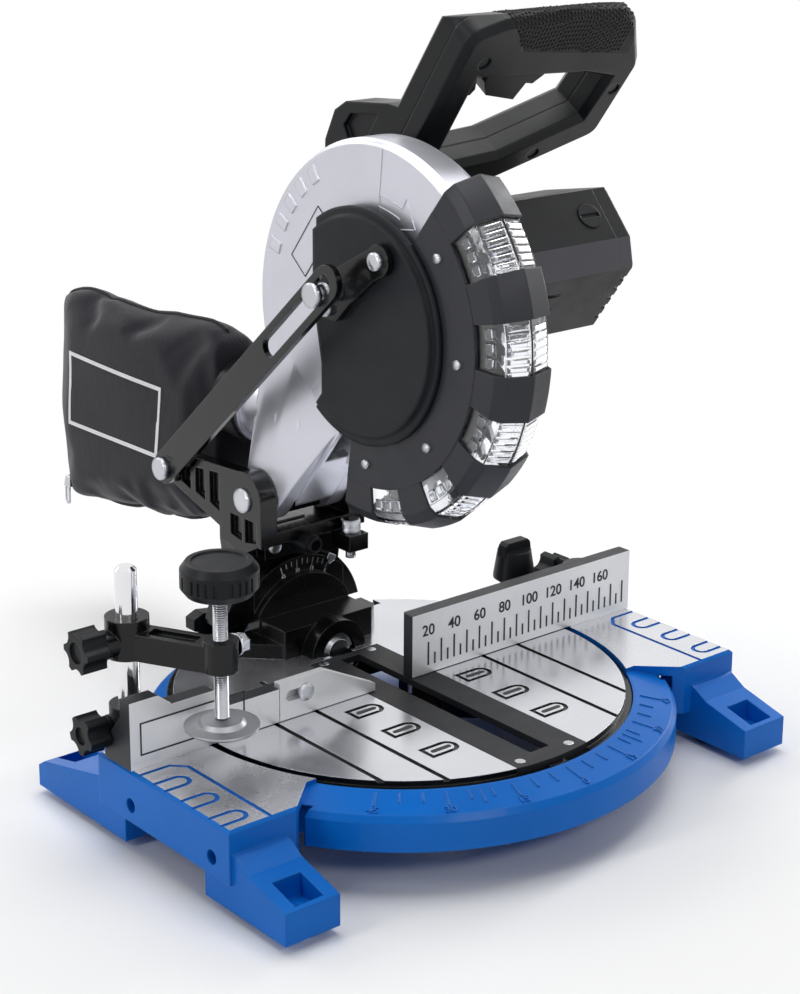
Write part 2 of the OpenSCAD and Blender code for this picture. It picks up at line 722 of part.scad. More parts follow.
// Cheek of the head arm on side s, from the shell face out to the pivot boss
module arm_cheek(s)
    difference() {
        hull() {
            push_x(s > 0 ? shell_half - 3 : -shell_half + 0.3, s > 0 ? shell_half - 0.3 : -shell_half + 3)
                polygon([[arbor_y + 31, arbor_z - 70], [arbor_y + 70, arbor_z - 34], [arbor_y + 98, arbor_z - 26],
                    [arbor_y + 101, arbor_z - 44]]);
            cyl_x(s > 0 ? boss_in : -ear_in + pass_gap, s > 0 ? ear_in - pass_gap : -boss_in,
                pivot_y, pivot_z, 15, 48);
        }
        cyl_x(-shell_half + 2.6, shell_half - 2.6, arbor_y, arbor_z, shell_in, 160);
    }

module head_casting()
    color(silver) difference() {
        union() {
            // upper guard shell
            turn_arbor(-42, 128)
                polygon([[30, -shell_half], [shell_r - 3, -shell_half], [shell_r, -shell_half + 5],
                    [shell_r, shell_half - 5], [shell_r - 3, shell_half], [30, shell_half]]);
            cyl_x(-shell_half + 0.3, -shell_half + 3, arbor_y, arbor_z, 42, 96);
            cyl_x(shell_half - 3, shell_half - 0.3, arbor_y, arbor_z, 42, 96);
            // guard bearing
            cyl_x(-22.2, -shell_half + 1, arbor_y, arbor_z, boss_r);
            push_x(-shell_half + 0.15, shell_half - 0.15) arm_side();
            for (s = [-1, 1]) {
                arm_cheek(s);
                cyl_x(s > 0 ? boss_in : -ear_in + pass_gap, s > 0 ? ear_in - pass_gap : -boss_in,
                    pivot_y, pivot_z, 15, 96);
            }
            // dust port
            cyl_y(arbor_y + 80, pivot_y + 44, 0, port_z, port_r, 96);
            cyl_y(pivot_y + 26, pivot_y + 30, 0, port_z, port_r + 3, 96);
            // raised bars near the rim
            for (a = [20, 30, 39, 48, 57])
                turn_arbor(a - 2.6, a + 1.8)
                    polygon([[87, -shell_half - 0.8], [96.5, -shell_half - 0.8], [96.5, -shell_half + 1],
                        [87, -shell_half + 1]]);
        }
        // blade space
        cyl_x(-shell_half + 2.6, shell_half - 2.6, arbor_y, arbor_z, shell_in, 160);
        cyl_x(-30, shell_half + 1, arbor_y, arbor_z, 19);
        cyl_x(-40, 40, pivot_y, pivot_z, shaft_r + run_fit);
        cyl_y(arbor_y + 60, pivot_y + 60, 0, port_z, port_r - 3, 96);
        // room of the return spring
        cyl_x(-boss_in, boss_in, pivot_y, pivot_z, spring_r + spring_wire / 2 + 3.6);
        // seam groove of the two-piece face
        translate([0, arbor_y, arbor_z]) rotate([96, 0, 0])
            block([-shell_half - 1, 44, -0.4], [-shell_half + 0.5, shell_r - 3, 0.4]);
    }

port_z = arbor_z - 74;
port_r = 21;

// Outline of the gear case in Y and Z, drawn in by d
module case_side(d) {
    translate([arbor_y, arbor_z]) circle(r = 36 - d, $fn = 96);
    translate([motor_y, motor_z]) circle(r = motor_half - 3 - d, $fn = 96);
}

// Gear case with the seat of the handle
module gear_case()
    color(charcoal) difference() {
        union() {
            push_x(shell_half, case_x) case_side(0);
            // saddle of the handle
            at_handle() block([loop_h[0] - post_half, -205, 20], [case_x - 0.6, -138, handle_low]);
        }
        push_x(shell_half + 14, case_x + 1) case_side(4);
        cyl_x(shell_half - 1, shell_half + 20, arbor_y, arbor_z, 9);
        cyl_x(shell_half + 5, shell_half + 15, arbor_y, arbor_z, 14);
        cyl_x(shell_half + 5, shell_half + 15, motor_y, motor_z, 8);
        // bore of the spindle button
        cyl_z(arbor_z - 50, arbor_z - 20, 40, arbor_y, 4 + run_fit);
    }

// Motor outline in Y and Z about the motor axis, drawn in by d
module motor_side(d)
    polygon([for (i = [0 : len(motor_faces) - 1]) face_corner(motor_faces[i],
        motor_faces[(i + 1) % len(motor_faces)], motor_half - d)]);

// Corner where two faces of the motor outline meet
function face_corner(f, g, r) = [(r + f[1]) * sin(g[0]) - (r + g[1]) * sin(f[0]),
    (r + g[1]) * cos(f[0]) - (r + f[1]) * cos(g[0])] / sin(g[0] - f[0]);

// Places a motor piece about the motor axis
module at_motor()
    translate([0, motor_y, motor_z]) children();

// Turns a piece from the direction of +Y to angle a about the motor axis
module to_face(a)
    rotate([a, 0, 0]) children();

module motor_housing()
    color(black) difference() {
        at_motor() difference() {
            push_x(case_x, cap_x) motor_side(0);
            push_x(case_x + 6, cap_x + 1) motor_side(4);
            cyl_x(case_x - 1, case_x + 10, 0, 0, 11);
            // brush bores
            for (a = [brush_a, brush_a + 180])
                to_face(a) cyl_y(20, motor_half + 9, cap_x - 12, 0, 8);
            // cooling slots of the lower face
            for (i = [-1 : 1])
                to_face(motor_faces[2][0]) translate([0, motor_half + motor_faces[2][1], 12 * i])
                    push_z(-1.6, 1.6) polygon([[case_x + 10, 1], [case_x + 10, -3], [case_x + 16, -3],
                        [case_x + 44, 1]]);
        }
        // arbor end bearing
        cyl_x(case_x - 1, case_x + 5, arbor_y, arbor_z, 11);
    }

// Profile in X and Y pushed along Z from z0 to z1
module push_z(z0, z1)
    translate([0, 0, z0]) linear_extrude(height = z1 - z0) children();

module motor_cap()
    color(charcoal) at_motor() difference() {
        union() {
            push_x(cap_x, motor_end - 6) motor_side(0);
            push_x(motor_end - 6, motor_end - 3) motor_side(2.5);
            push_x(motor_end - 3, motor_end) motor_side(6);
        }
        push_x(cap_x - 1, motor_end - 5) motor_side(5);
        cyl_x(motor_end - 7, motor_end - 4, 0, 0, 8);
        to_face(motor_faces[2][0]) {
            for (i = [-2 : 2])
                block([motor_end - 6, -20, i * 8 - 1.6], [motor_end + 1, 20, i * 8 + 1.6]);
            for (i = [-2 : 2])
                block([cap_x + 6, motor_half - 9, i * 8 - 1.6], [motor_end + 1, motor_half + 3, i * 8 + 1.6]);
        }
    }

module brush_caps()
    color(black) at_motor() for (k = [[brush_a, motor_faces[0][1]], [brush_a + 180, motor_faces[4][1]]])
        to_face(k[0]) difference() {
            cyl_y(motor_half + k[1] - 7, motor_half + k[1] + 0.6, cap_x - 12, 0, 7.98);
            block([cap_x - 19, motor_half + k[1] - 0.4, -1.2], [cap_x - 5, motor_half + k[1] + 2, 1.2]);
        }

module stator()
    color(charcoal) at_motor() difference() {
        cyl_x(case_x + 12, cap_x - 24, 0, 0, stator_r, 96);
        cyl_x(case_x, cap_x, 0, 0, stator_r - 10, 96);
        for (a = [45 : 90 : 315])
            to_face(a) block([case_x, stator_r - 1.5, -3], [cap_x, stator_r + 2, 3]);
    }

// Spur wheel about X with n teeth of module one, teeth of half height h
module spur(x0, x1, n, h, turn)
    rotate([turn, 0, 0]) push_x(x0, x1) {
        circle(r = n / 2 - 1.2, $fn = 96);
        for (i = [0 : n - 1])
            rotate(i * 360 / n)
                polygon([[n / 2 - 1.6, -0.62], [n / 2 + h, -0.34], [n / 2 + h, 0.34], [n / 2 - 1.6, 0.62]]);
    }

module armature()
    color(steel) translate([0, motor_y, motor_z]) {
        cyl_x(shell_half + 6, motor_end - 5.2, 0, 0, 4);
        cyl_x(case_x + 12, cap_x - 24, 0, 0, stator_r - 10.7, 96);
        cyl_x(cap_x - 19, cap_x - 6, 0, 0, 11, 48);
        spur(shell_half + 15.5, shell_half + 27, pinion_teeth, 0.5, motor_a + 180);
        for (i = [0 : 8])
            rotate([40 * i, 0, 0]) block([case_x + 7.5, -1, 3], [case_x + 11.5, 1, 26]);
        cyl_x(case_x + 7, case_x + 8, 0, 0, 26, 96);
    }

module bearings()
    color(steel) {
        translate([0, motor_y, motor_z]) {
            bearing(shell_half + 5, shell_half + 13, 4, 7.98);
            bearing(case_x - 0.5, case_x + 6, 4, 10.98);
            bearing(motor_end - 12, motor_end - 5, 4, 7.98);
        }
        translate([0, arbor_y, arbor_z]) {
            bearing(shell_half + 5, shell_half + 13, 7, 13.98);
            bearing(case_x - 3, case_x + 5, 7, 10.98);
        }
    }

// Bearing ring along X for a shaft of radius r
module bearing(x0, x1, r, out)
    difference() {
        cyl_x(x0, x1, 0, 0, out);
        cyl_x(x0 - 1, x1 + 1, 0, 0, r + run_fit);
    }

module arbor()
    color(steel) translate([0, arbor_y, arbor_z]) {
        cyl_x(-6, case_x + 4, 0, 0, 7);
        spur(shell_half + 16, shell_half + 26, gear_teeth, 0.5, motor_a + 180 / gear_teeth);
    }

module blade()
    color(steel) translate([0, arbor_y, arbor_z]) {
        difference() {
            union() {
                cyl_x(-blade_thick / 2 + 0.4, blade_thick / 2 - 0.4, 0, 0, blade_r - 7, 160);
                push_x(-blade_thick / 2, blade_thick / 2)
                    for (i = [0 : blade_teeth - 1])
                        rotate(i * 360 / blade_teeth)
                            polygon([[blade_r - 12, 0], [blade_r - 0.1, 0], [blade_r - 1.4, -3],
                                [blade_r - 12, -9]]);
            }
            cyl_x(-5, 5, 0, 0, 7.02);
            for (i = [0 : 4])
                rotate([72 * i + 20, 0, 0]) cyl_x(-5, 5, 62, 0, 5, 48);
        }
    }

module blade_flanges()
    color(steel) translate([0, arbor_y, arbor_z]) for (s = [-1, 1])
        difference() {
            union() {
                cyl_x(s > 0 ? blade_thick / 2 - 0.4 : -6, s > 0 ? 6 : -blade_thick / 2 + 0.4, 0, 0, 18);
            }
            cyl_x(-10, 10, 0, 0, 7.02);
        }

module blade_bolt()
    color(steel) translate([0, arbor_y, arbor_z]) {
        cyl_x(-13, -11, 0, 0, 12, 48);
        cyl_x(-11, -6, 0, 0, 9, 48);
        cyl_x(-18, -13, 0, 0, 7.5, 6);
    }

// Press button that holds the arbor for a blade change
module spindle_button()
    color(black) {
        cyl_z(arbor_z - 44, arbor_z - 26, 40, arbor_y, 4);
        cyl_z(arbor_z - 48, arbor_z - 42, 40, arbor_y, 7);
    }

handle_low = 57;
handle_mid = handle_low + handle_thick / 2;
post_half = 11;
loop_a = [37.5, -291, post_half];
loop_b = [53, -286, 21];
loop_c = [96, -288, 22.5];
loop_d = [135, -284, 23];
loop_e = [164, -264, 10];
loop_f = [160, -219, 11.5];
loop_g = [100, -194, 11];
loop_h = [37.5, -188, post_half];
loop_i = [37.5, -146, post_half];
trig_x = 69;
trig_y = -267.5;
screw_spots = [[45, -279], [163, -248], [124, -202.5], [37.5, -205]];

// Places a piece drawn with the head lowered and the head pivot at the origin
module at_handle()
    translate([0, pivot_y, pivot_z]) rotate([-head_travel, 0, 0]) children();

// Disc with chamfered rims, one corner of the handle loop
module loop_disc(p)
    translate([p[0], p[1], handle_low]) rotate_extrude($fn = 32)
        polygon([[0, 0], [p[2] - handle_edge, 0], [p[2], handle_edge], [p[2], handle_thick - handle_edge],
            [p[2] - handle_edge, handle_thick], [0, handle_thick]]);

// Bar of the handle loop through several corners
module loop_bar(corners)
    hull()
        for (p = corners)
            loop_disc(p);

// Cross bar of the handle
module cross_bar() {
    loop_bar([loop_a, loop_b, loop_c, loop_d]);
    loop_bar([loop_d, loop_e]);
}

// Slope along the upper front edge of the handle
module front_slope()
    push_x(0, 200)
        polygon([[-312, handle_low + 2], [-288, handle_low + handle_thick + 1],
            [-340, handle_low + handle_thick + 1], [-340, handle_low + 2]]);

// Room of the rubber grip, drawn in by d
module grip_zone(d)
    push_z(handle_low - 1, handle_low + handle_thick + 1)
        polygon([[42 + d, -320], [70 + d, -286 - d], [156 - d, -277 - d], [150 - d, -320]]);

// Handle loop with the room of its inner pieces
module handle_body()
    difference() {
        union() {
            cross_bar();
            loop_bar([loop_e, loop_f]);
            loop_bar([loop_f, loop_g]);
            loop_bar([loop_g, loop_h]);
            loop_bar([loop_a, loop_h, loop_i]);
            // hump behind the root
            push_x(loop_h[0] - post_half, loop_h[0] + post_half)
                polygon([[-229, handle_mid + 8], [-222, handle_mid + 20], [-199, handle_mid + 48],
                    [-188, handle_mid + 53], [-168, handle_mid + 50], [-152, handle_mid + 40],
                    [-140, handle_mid + 22], [-138, handle_mid + 6]]);
        }
        front_slope();
        grip_zone(0);
        // hollow of the hump
        push_x(loop_h[0] - post_half - 1, loop_h[0] - post_half + 3)
            polygon([[-212, handle_mid + 22], [-196, handle_mid + 41], [-186, handle_mid + 42],
                [-176, handle_mid + 22]]);
        // pockets of the trigger, its switch and the lock-off
        block([trig_x - 8, -280, handle_mid - 6.4], [trig_x + 46, -236, handle_mid + 6.4]);
        block([loop_a[0] - 0.5, -258.4, handle_mid - 5], [trig_x - 7.9, -245.6, handle_mid + 5]);
        cyl_z(handle_mid - 10, handle_mid + 10, trig_x, trig_y, 2);
        for (p = screw_spots)
            cyl_z(0, handle_low + 3, p[0], p[1], 4, 48);
    }

// Lower half of the handle shell
module handle_lower()
    color(black) at_handle() difference() {
        handle_body();
        block([0, -400, handle_mid], [250, 0, handle_mid + 100]);
    }

// Upper half of the handle shell
module handle_upper()
    color(black) at_handle() difference() {
        handle_body();
        block([0, -400, 0], [250, 0, handle_mid]);
    }

// Rubber grip of the cross bar
module grip()
    color(rubber) at_handle() difference() {
        intersection() {
            cross_bar();
            grip_zone(0.01);
        }
        front_slope();
    }

module trigger()
    color(charcoal) at_handle() difference() {
        push_z(handle_mid - 6, handle_mid + 6)
            polygon([[trig_x - 5, -271.5], [trig_x - 5, -256], [trig_x + 1, -246], [trig_x + 25, -240],
                [trig_x + 28.5, -252], [trig_x + 34, -251], [trig_x + 42, -259.5], [trig_x + 44, -271.5]]);
        cyl_z(0, 200, trig_x, trig_y, 2 + run_fit, 48);
    }

module lock_off()
    color(charcoal) at_handle() push_z(handle_mid - 4.6, handle_mid + 4.6)
        polygon([[43, -258], [58, -258], [61, -250], [59, -246], [43, -246]]);

module trigger_switch()
    color(charcoal) at_handle()
        block([trig_x + 3, -279.9, handle_mid - 6.3], [trig_x + 41, -275.2, handle_mid + 6.3]);

module handle_screws()
    color(steel) at_handle() {
        for (p = screw_spots)
            cyl_z(handle_low + 1, handle_low + 3, p[0], p[1], 3.9, 48);
        cyl_z(handle_mid - 10, handle_mid + 10, trig_x, trig_y, 1.98, 48);
    }

// Strain relief where the cord would leave the handle root
module cord_gland()
    color(rubber) at_handle() translate([loop_i[0] + post_half, loop_i[1] - 16, handle_mid]) difference() {
        cyl_x(0, 15, 0, 0, 8, 48);
        cyl_x(1.5, 16, 0, 0, 3.6, 48);
        for (i = [0 : 2])
            difference() {
                cyl_x(4 + 4 * i, 5.6 + 4 * i, 0, 0, 10, 48);
                cyl_x(3 + 4 * i, 6.6 + 4 * i, 0, 0, 6.6, 48);
            }
    }

guard_a0 = 128;
guard_a1 = 279;

module guard_plate()
    color(charcoal) difference() {
        union() {
            cyl_x(-22, -19, arbor_y, arbor_z, hub_radius, 128);
            cyl_x(-24.6, -22, arbor_y, arbor_z, hub_radius - 5, 128);
        }
        cyl_x(-22.8, -10, arbor_y, arbor_z, boss_r + run_fit);
        // cut-away rear edge
        translate([0, arbor_y, arbor_z]) push_x(-40, 0)
            polygon([[38, 90], [38, 10], [30.5, -26], [30.5, -44], [42, -58], [16, -90], [120, -90], [120, 90]]);
    }

// Half section of the guard from the ring to the far wall: r0 ring start, t shell offset
module guard_section(r0, outer)
    polygon(outer > 0
        ? [[r0, -18.8], [90, -18.8], [guard_ridge - 11, -18.6], [guard_ridge - 5.2, -15], [guard_ridge, 0],
            [guard_ridge - 5.2, 16.6], [guard_ridge - 13, 19], [96, 19], [96, 17.4], [guard_ridge - 14, 17.4],
            [guard_ridge - 6.7, 15.2], [guard_ridge - 1.7, 0], [guard_ridge - 6.7, -14.2],
            [guard_ridge - 12, -17], [r0, -17.2]]
        : [[r0, -17], [guard_ridge - 12.1, -17], [guard_ridge - 6.8, -14.2], [guard_ridge - 1.8, 0],
            [guard_ridge - 6.8, 15.2], [guard_ridge - 14.1, 17.4], [96, 17.4], [96, 15.9],
            [guard_ridge - 14.6, 15.9], [guard_ridge - 8.4, 14], [guard_ridge - 3.6, 0],
            [guard_ridge - 8.4, -13.2], [guard_ridge - 12.8, -15.4], [r0, -15.4]]);

module guard_frame()
    color(charcoal) {
        turn_arbor(guard_a0, guard_a1) polygon([[60, -19], [92, -19], [92, -17], [60, -17]]);
        for (i = [0 : guard_ribs - 1])
            let (a = guard_a0 + (guard_a1 - guard_a0 - 13) * i / (guard_ribs - 1))
                turn_arbor(a, a + 13) guard_section(88, 1);
    }

module guard_window()
    color(clear) turn_arbor(guard_a0 + 0.5, guard_a1 - 0.5) guard_section(84, -1);

module guard_bracket()
    color(black) difference() {
        union() {
            translate([0, arbor_y, arbor_z]) push_x(-29, -24.6)
                polygon([[-30, 44], [-24, 51], [-14, 46], [12, 32], [24, 16], [22, 2], [12, 2], [0, 14],
                    [-20, 30], [-30, 36]]);
            cyl_x(-29, -24.6, arbor_y - 24, arbor_z + 42, 9, 48);
        }
        cyl_x(-40, 0, pin_y, pin_z, 2.3);
    }

module guard_screws()
    color(steel) {
        for (a = [142, 184, 226, 268])
            translate([0, arbor_y, arbor_z]) rotate([a, 0, 0]) cyl_x(-20.6, -19, 79, 0, 2.6, 32);
        translate([0, arbor_y, arbor_z]) {
            cyl_x(-32, -29, -24, 42, 5, 32);
            cyl_x(-32, -29, 19, 8, 4.4, 32);
        }
        // stud that rides in the slot of the link
        cyl_x(-29, -24.6, pin_y, pin_z, 2.3, 48);
        cyl_x(link_x + 4 + pass_gap, -29, pin_y, pin_z, 6, 48);
        cyl_x(link_x - pass_gap, link_x + 4 + pass_gap, pin_y, pin_z, 2.3, 48);
        cyl_x(link_x - 4, link_x - pass_gap, pin_y, pin_z, 7, 48);
    }

// Bar from the tilting arm to the guard stud, with a long slot
module guard_link()
    color(black) translate([0, link_y, link_z]) rotate([link_a, 0, 0]) difference() {
        push_x(link_x, link_x + 4) {
            circle(r = link_width / 2, $fn = 64);
            translate([0, -link_width / 2]) square([link_len + 12, link_width]);
            translate([link_len + 12, 0]) circle(r = link_width / 2, $fn = 64);
        }
        cyl_x(link_x - 1, link_x + 6, 0, 0, 4 + run_fit);
        push_x(link_x - 1, link_x + 6) {
            translate([link_len - 58, -5.6]) square([68, 11.2]);
            translate([link_len - 58, 0]) circle(r = 5.6, $fn = 48);
            translate([link_len + 10, 0]) circle(r = 5.6, $fn = 48);
        }
    }

module link_bolt()
    color(steel) {
        cyl_x(link_x - 0.2, -ear_out + 9, link_y, link_z, 3.999);
        cyl_x(link_x - 4, link_x - 0.2, link_y, link_z, 7, 48);
        cyl_x(-ear_out + 9, -ear_out + 13, link_y, link_z, 6.5, 6);
    }

module dust_collar()
    color(black) difference() {
        cyl_y(pivot_y + 30, bag_y, 0, port_z, port_r + 5, 96);
        cyl_y(pivot_y + 29, bag_y + 1, 0, port_z, port_r + 0.02, 96);
    }

module dust_bag()
    color(charcoal) intersection() {
        push_x(-20, 24)
            polygon([[bag_y, T + 95], [bag_y + 12, T + 72], [bag_y + 24, T + 56], [bag_y + 101, T + 41],
                [bag_y + 182, T + 31], [bag_y + 203, T + 44], [bag_y + 208, T + 90], [bag_y + 204, T + 158],
                [bag_y + 192, T + 171], [bag_y + 168, T + 178], [bag_y + 122, T + 182], [bag_y + 21, T + 184],
                [bag_y, T + 176]]);
        push_z(T, T + 300)
            polygon([[-20, bag_y - 1], [24, bag_y - 1], [24, bag_y + 180], [6, bag_y + 210], [0, bag_y + 210],
                [-20, bag_y + 176]]);
        push_y(bag_y - 1, bag_y + 220)
            polygon([[-16, T], [-20, T + 44], [-20, T + 170], [-12, T + 190], [-2, T + 190], [20, T + 158],
                [24, T + 100], [20, T]]);
    }
bag_y = pivot_y + 50;

module clamp_post()
    color(steel) {
        cyl_z(T + 3, post_top - 2, post_x, post_y, post_dia / 2);
        translate([post_x, post_y, post_top - 2])
            cylinder(r1 = post_dia / 2, r2 = post_dia / 2 - 2, h = 2, $fn = 64);
    }

clamp_a = atan2(rod_y - post_y, rod_x - post_x);
clamp_len = norm([rod_x - post_x, rod_y - post_y]);

module clamp_arm()
    color(black) translate([post_x, post_y, 0]) rotate([0, 0, clamp_a]) difference() {
        union() {
            cyl_z(arm_z0, arm_z1 + 5, 0, 0, 12);
            block([0, -8, arm_z0], [clamp_len, 8, arm_z1 - 2]);
            cyl_z(arm_z0, arm_z1, clamp_len, 0, 9.5);
            // lock screw boss on the far side of the post
            rotate([0, 0, 180 - clamp_a]) cyl_x(0, 17, 0, (arm_z0 + arm_z1) / 2, 8);
        }
        cyl_z(arm_z0 - 1, arm_z1 + 9, 0, 0, post_dia / 2 + run_fit);
        cyl_z(arm_z0 - 1, arm_z1 + 9, clamp_len, 0, spindle_dia / 2 + run_fit);
        block([14, -4.5, arm_z1 - 5], [clamp_len - 13, 4.5, arm_z1 + 1]);
        rotate([0, 0, 180 - clamp_a]) cyl_x(0, 30, 0, (arm_z0 + arm_z1) / 2, 4 + run_fit);
    }

// Clamping bolt beside the spindle
module clamp_bolt()
    color(steel) translate([rod_x, rod_y, (arm_z0 + arm_z1) / 2 + 3]) {
        cyl_x(9.5, 11, 0, 0, 6, 48);
        cyl_x(11, 15.5, 0, 0, 5.4, 6);
    }

module clamp_knob()
    color(black) translate([post_x, post_y, (arm_z0 + arm_z1) / 2]) rotate([0, -90, 0]) {
        cyl_z(post_dia / 2 + pass_gap, 22, 0, 0, 4);
        difference() {
            lobed(17 + pass_gap, 32, 12, 6, 3);
            cyl_z(30.5, 33, 0, 0, 6);
        }
    }

thread_pitch = 1.25;
thread_turns = floor((wheel_z0 - pad_z - 6) / thread_pitch);

module clamp_spindle()
    color(steel) translate([rod_x, rod_y, 0]) {
        translate([0, 0, pad_z + 6]) rotate_extrude($fn = 48)
            polygon(concat([[0, 0]], [for (i = [0 : 2 * thread_turns])
                [spindle_dia / 2 - (i % 2 == 0 ? 0.55 : 0), i * thread_pitch / 2]],
                [[0, thread_turns * thread_pitch]]));
        difference() {
            union() {
                cyl_z(pad_z + 5 + thread_turns * thread_pitch, wheel_z0, 0, 0, spindle_dia / 2 - 0.6);
                translate([0, 0, wheel_z0]) rotate_extrude($fn = 96)
                    polygon([[0, 0], [wheel_dia / 2 - 3, 0], [wheel_dia / 2, 4],
                        [wheel_dia / 2, wheel_z1 - wheel_z0 - 4], [wheel_dia / 2 - 3, wheel_z1 - wheel_z0],
                        [0, wheel_z1 - wheel_z0]]);
            }
            for (i = [0 : 29])
                rotate([0, 0, 12 * i])
                    if (i % 5 > 0)
                        block([wheel_dia / 2 - 0.9, -0.9, wheel_z0 + 4.6], [wheel_dia / 2 + 1, 0.9, wheel_z1 - 6]);
            cyl_z(wheel_z1 - 0.8, wheel_z1 + 1, 0, 0, wheel_dia / 2 - 6, 96);
        }
    }

module clamp_pad()
    color(silver) translate([rod_x, rod_y, pad_z]) rotate_extrude($fn = 96)
        polygon([[0, 0], [pad_dia / 2 - 1, 0], [pad_dia / 2, 1], [pad_dia / 2, 2], [13, 2.6], [11, 5], [0, 5.9]]);

base_casting();
rubber_feet();
fence_left();
fence_right();
fence_bolts();
sliding_fence();
slide_screw();
post_lock_left();
post_lock_right();
mitre_lock_knob();
turntable();
pivot_bolt();
kerf_plate();
kerf_screws();
mitre_pointer();
tilt_arm();
bevel_bolt();
bevel_lever();
bevel_pointer();
head_shaft();
return_spring();
laser_module();
laser_lens();
arm_screws();
head_casting();
gear_case();
motor_housing();
motor_cap();
brush_caps();
stator();
armature();
bearings();
arbor();
blade();
blade_flanges();
blade_bolt();
spindle_button();
handle_lower();
handle_upper();
grip();
trigger();
lock_off();
trigger_switch();
handle_screws();
cord_gland();
guard_plate();
guard_frame();
guard_window();
guard_bracket();
guard_screws();
guard_link();
link_bolt();
dust_collar();
dust_bag();
clamp_post();
clamp_arm();
clamp_bolt();
clamp_knob();
clamp_spindle();
clamp_pad();
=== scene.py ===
"""Looks of a small compound mitre saw: finishes, printed scales, grip nubs, guard lens and dust bag."""

import logging
import math
from dataclasses import dataclass, field
from enum import Enum
from typing import Callable, Iterable, Optional, Sequence

import bpy
import numpy as np
from mathutils import Euler, Matrix, Vector, noise
from mathutils.bvhtree import BVHTree


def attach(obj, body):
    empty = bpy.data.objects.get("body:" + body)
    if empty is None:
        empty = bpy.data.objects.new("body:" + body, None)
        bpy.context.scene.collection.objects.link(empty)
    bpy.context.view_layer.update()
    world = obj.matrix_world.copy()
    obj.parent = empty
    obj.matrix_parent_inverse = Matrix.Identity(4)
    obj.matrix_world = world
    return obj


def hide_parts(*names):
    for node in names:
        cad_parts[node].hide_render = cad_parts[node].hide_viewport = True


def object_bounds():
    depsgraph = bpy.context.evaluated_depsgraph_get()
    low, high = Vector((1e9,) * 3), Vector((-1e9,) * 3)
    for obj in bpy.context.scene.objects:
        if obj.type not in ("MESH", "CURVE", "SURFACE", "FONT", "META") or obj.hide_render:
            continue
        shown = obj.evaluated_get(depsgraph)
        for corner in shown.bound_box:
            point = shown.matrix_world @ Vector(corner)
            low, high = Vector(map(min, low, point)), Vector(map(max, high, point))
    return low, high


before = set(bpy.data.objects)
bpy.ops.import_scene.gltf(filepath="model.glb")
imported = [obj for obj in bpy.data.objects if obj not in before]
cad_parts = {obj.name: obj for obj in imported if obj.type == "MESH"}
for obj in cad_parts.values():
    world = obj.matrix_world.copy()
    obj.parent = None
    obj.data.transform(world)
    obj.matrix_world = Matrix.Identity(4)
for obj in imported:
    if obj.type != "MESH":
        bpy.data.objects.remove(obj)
CAD_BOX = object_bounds()

LOG = logging.getLogger("mitre_saw")
MM = 0.001
IMAGE_SIZE = (800, 994)
TABLE_TOP = 0.050
ARBOR = Vector((0.0, 0.010, 0.263))
HEAD_PIVOT = Vector((0.0, 0.098, 0.143))
HEAD_TRAVEL = math.radians(55.0)
PLANE_GAP = 2e-4
FONT_DEPTH, FONT_SWELL, FONT_LIFT = 0.05, 0.012, 0.6
DOWN, UP, RIGHT = Vector((0, 0, -1)), Vector((0, 0, 1)), Vector((1, 0, 0))

FLOAT, VECTOR = "NodeSocketFloat", "NodeSocketVector"
WHITE = (1.0, 1.0, 1.0, 1.0)

Colour = tuple[float, float, float, float]
Triple = tuple[float, float, float]
Pair = tuple[float, float]
Pairs = tuple[Pair, ...]
Row = tuple[float, ...]
Socket = bpy.types.NodeSocket
Sockets = bpy.types.bpy_prop_collection
FaceTest = Callable[[Vector, Vector], bool]


def linear(code: str) -> Colour:
    """Turns a screen colour into the linear one that shaders use.

    Args:
        code: Six hex digits, such as "0a72c4".

    Returns:
        Linear red, green, blue and an alpha of one.
    """
    parts = [int(code[i:i + 2], 16) / 255.0 for i in (0, 2, 4)]
    lin = [c / 12.92 if c <= 0.04045 else ((c + 0.055) / 1.055) ** 2.4 for c in parts]
    return (lin[0], lin[1], lin[2], 1.0)


def toned(colour: Colour, factor: float) -> Colour:
    """Returns a colour made darker or lighter by a factor, at most white."""
    red, green, blue = (min(1.0, c * factor) for c in colour[:3])
    return (red, green, blue, 1.0)


class Lay(Enum):
    """Direction of the fine marks that machining leaves on a metal face."""

    NONE = "none"
    ALONG_X = "along_x"
    TURNED_Z = "turned_z"
    TURNED_X = "turned_x"


class Slot(Enum):
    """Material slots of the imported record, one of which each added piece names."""

    BLUE = "blue_paint"
    FENCE = "fence_metal"
    BLACK_PLASTIC = "black_plastic"
    BLACK_PAINT = "black_paint"
    HEAD = "head_metal"
    CLEAR = "clear_plastic"
    FABRIC = "bag_fabric"
    ZINC = "zinc_steel"
    RUBBER = "foot_rubber"


def new_object(name: str, data: bpy.types.ID) -> bpy.types.Object:
    """Puts a new object into the scene and returns it."""
    made = bpy.data.objects.new(name, data)
    bpy.context.scene.collection.objects.link(made)
    return made


def evaluated(made: bpy.types.Object) -> bpy.types.Object:
    """Returns an object as its modifiers leave it."""
    return made.evaluated_get(bpy.context.evaluated_depsgraph_get())


def upright(x: float, y: float, z: float) -> Matrix:
    """Returns the matrix of an upright plane through a point, seen from the front."""
    return Matrix(((1, 0, 0, x), (0, 0, -1, y), (0, 1, 0, z), (0, 0, 0, 1)))


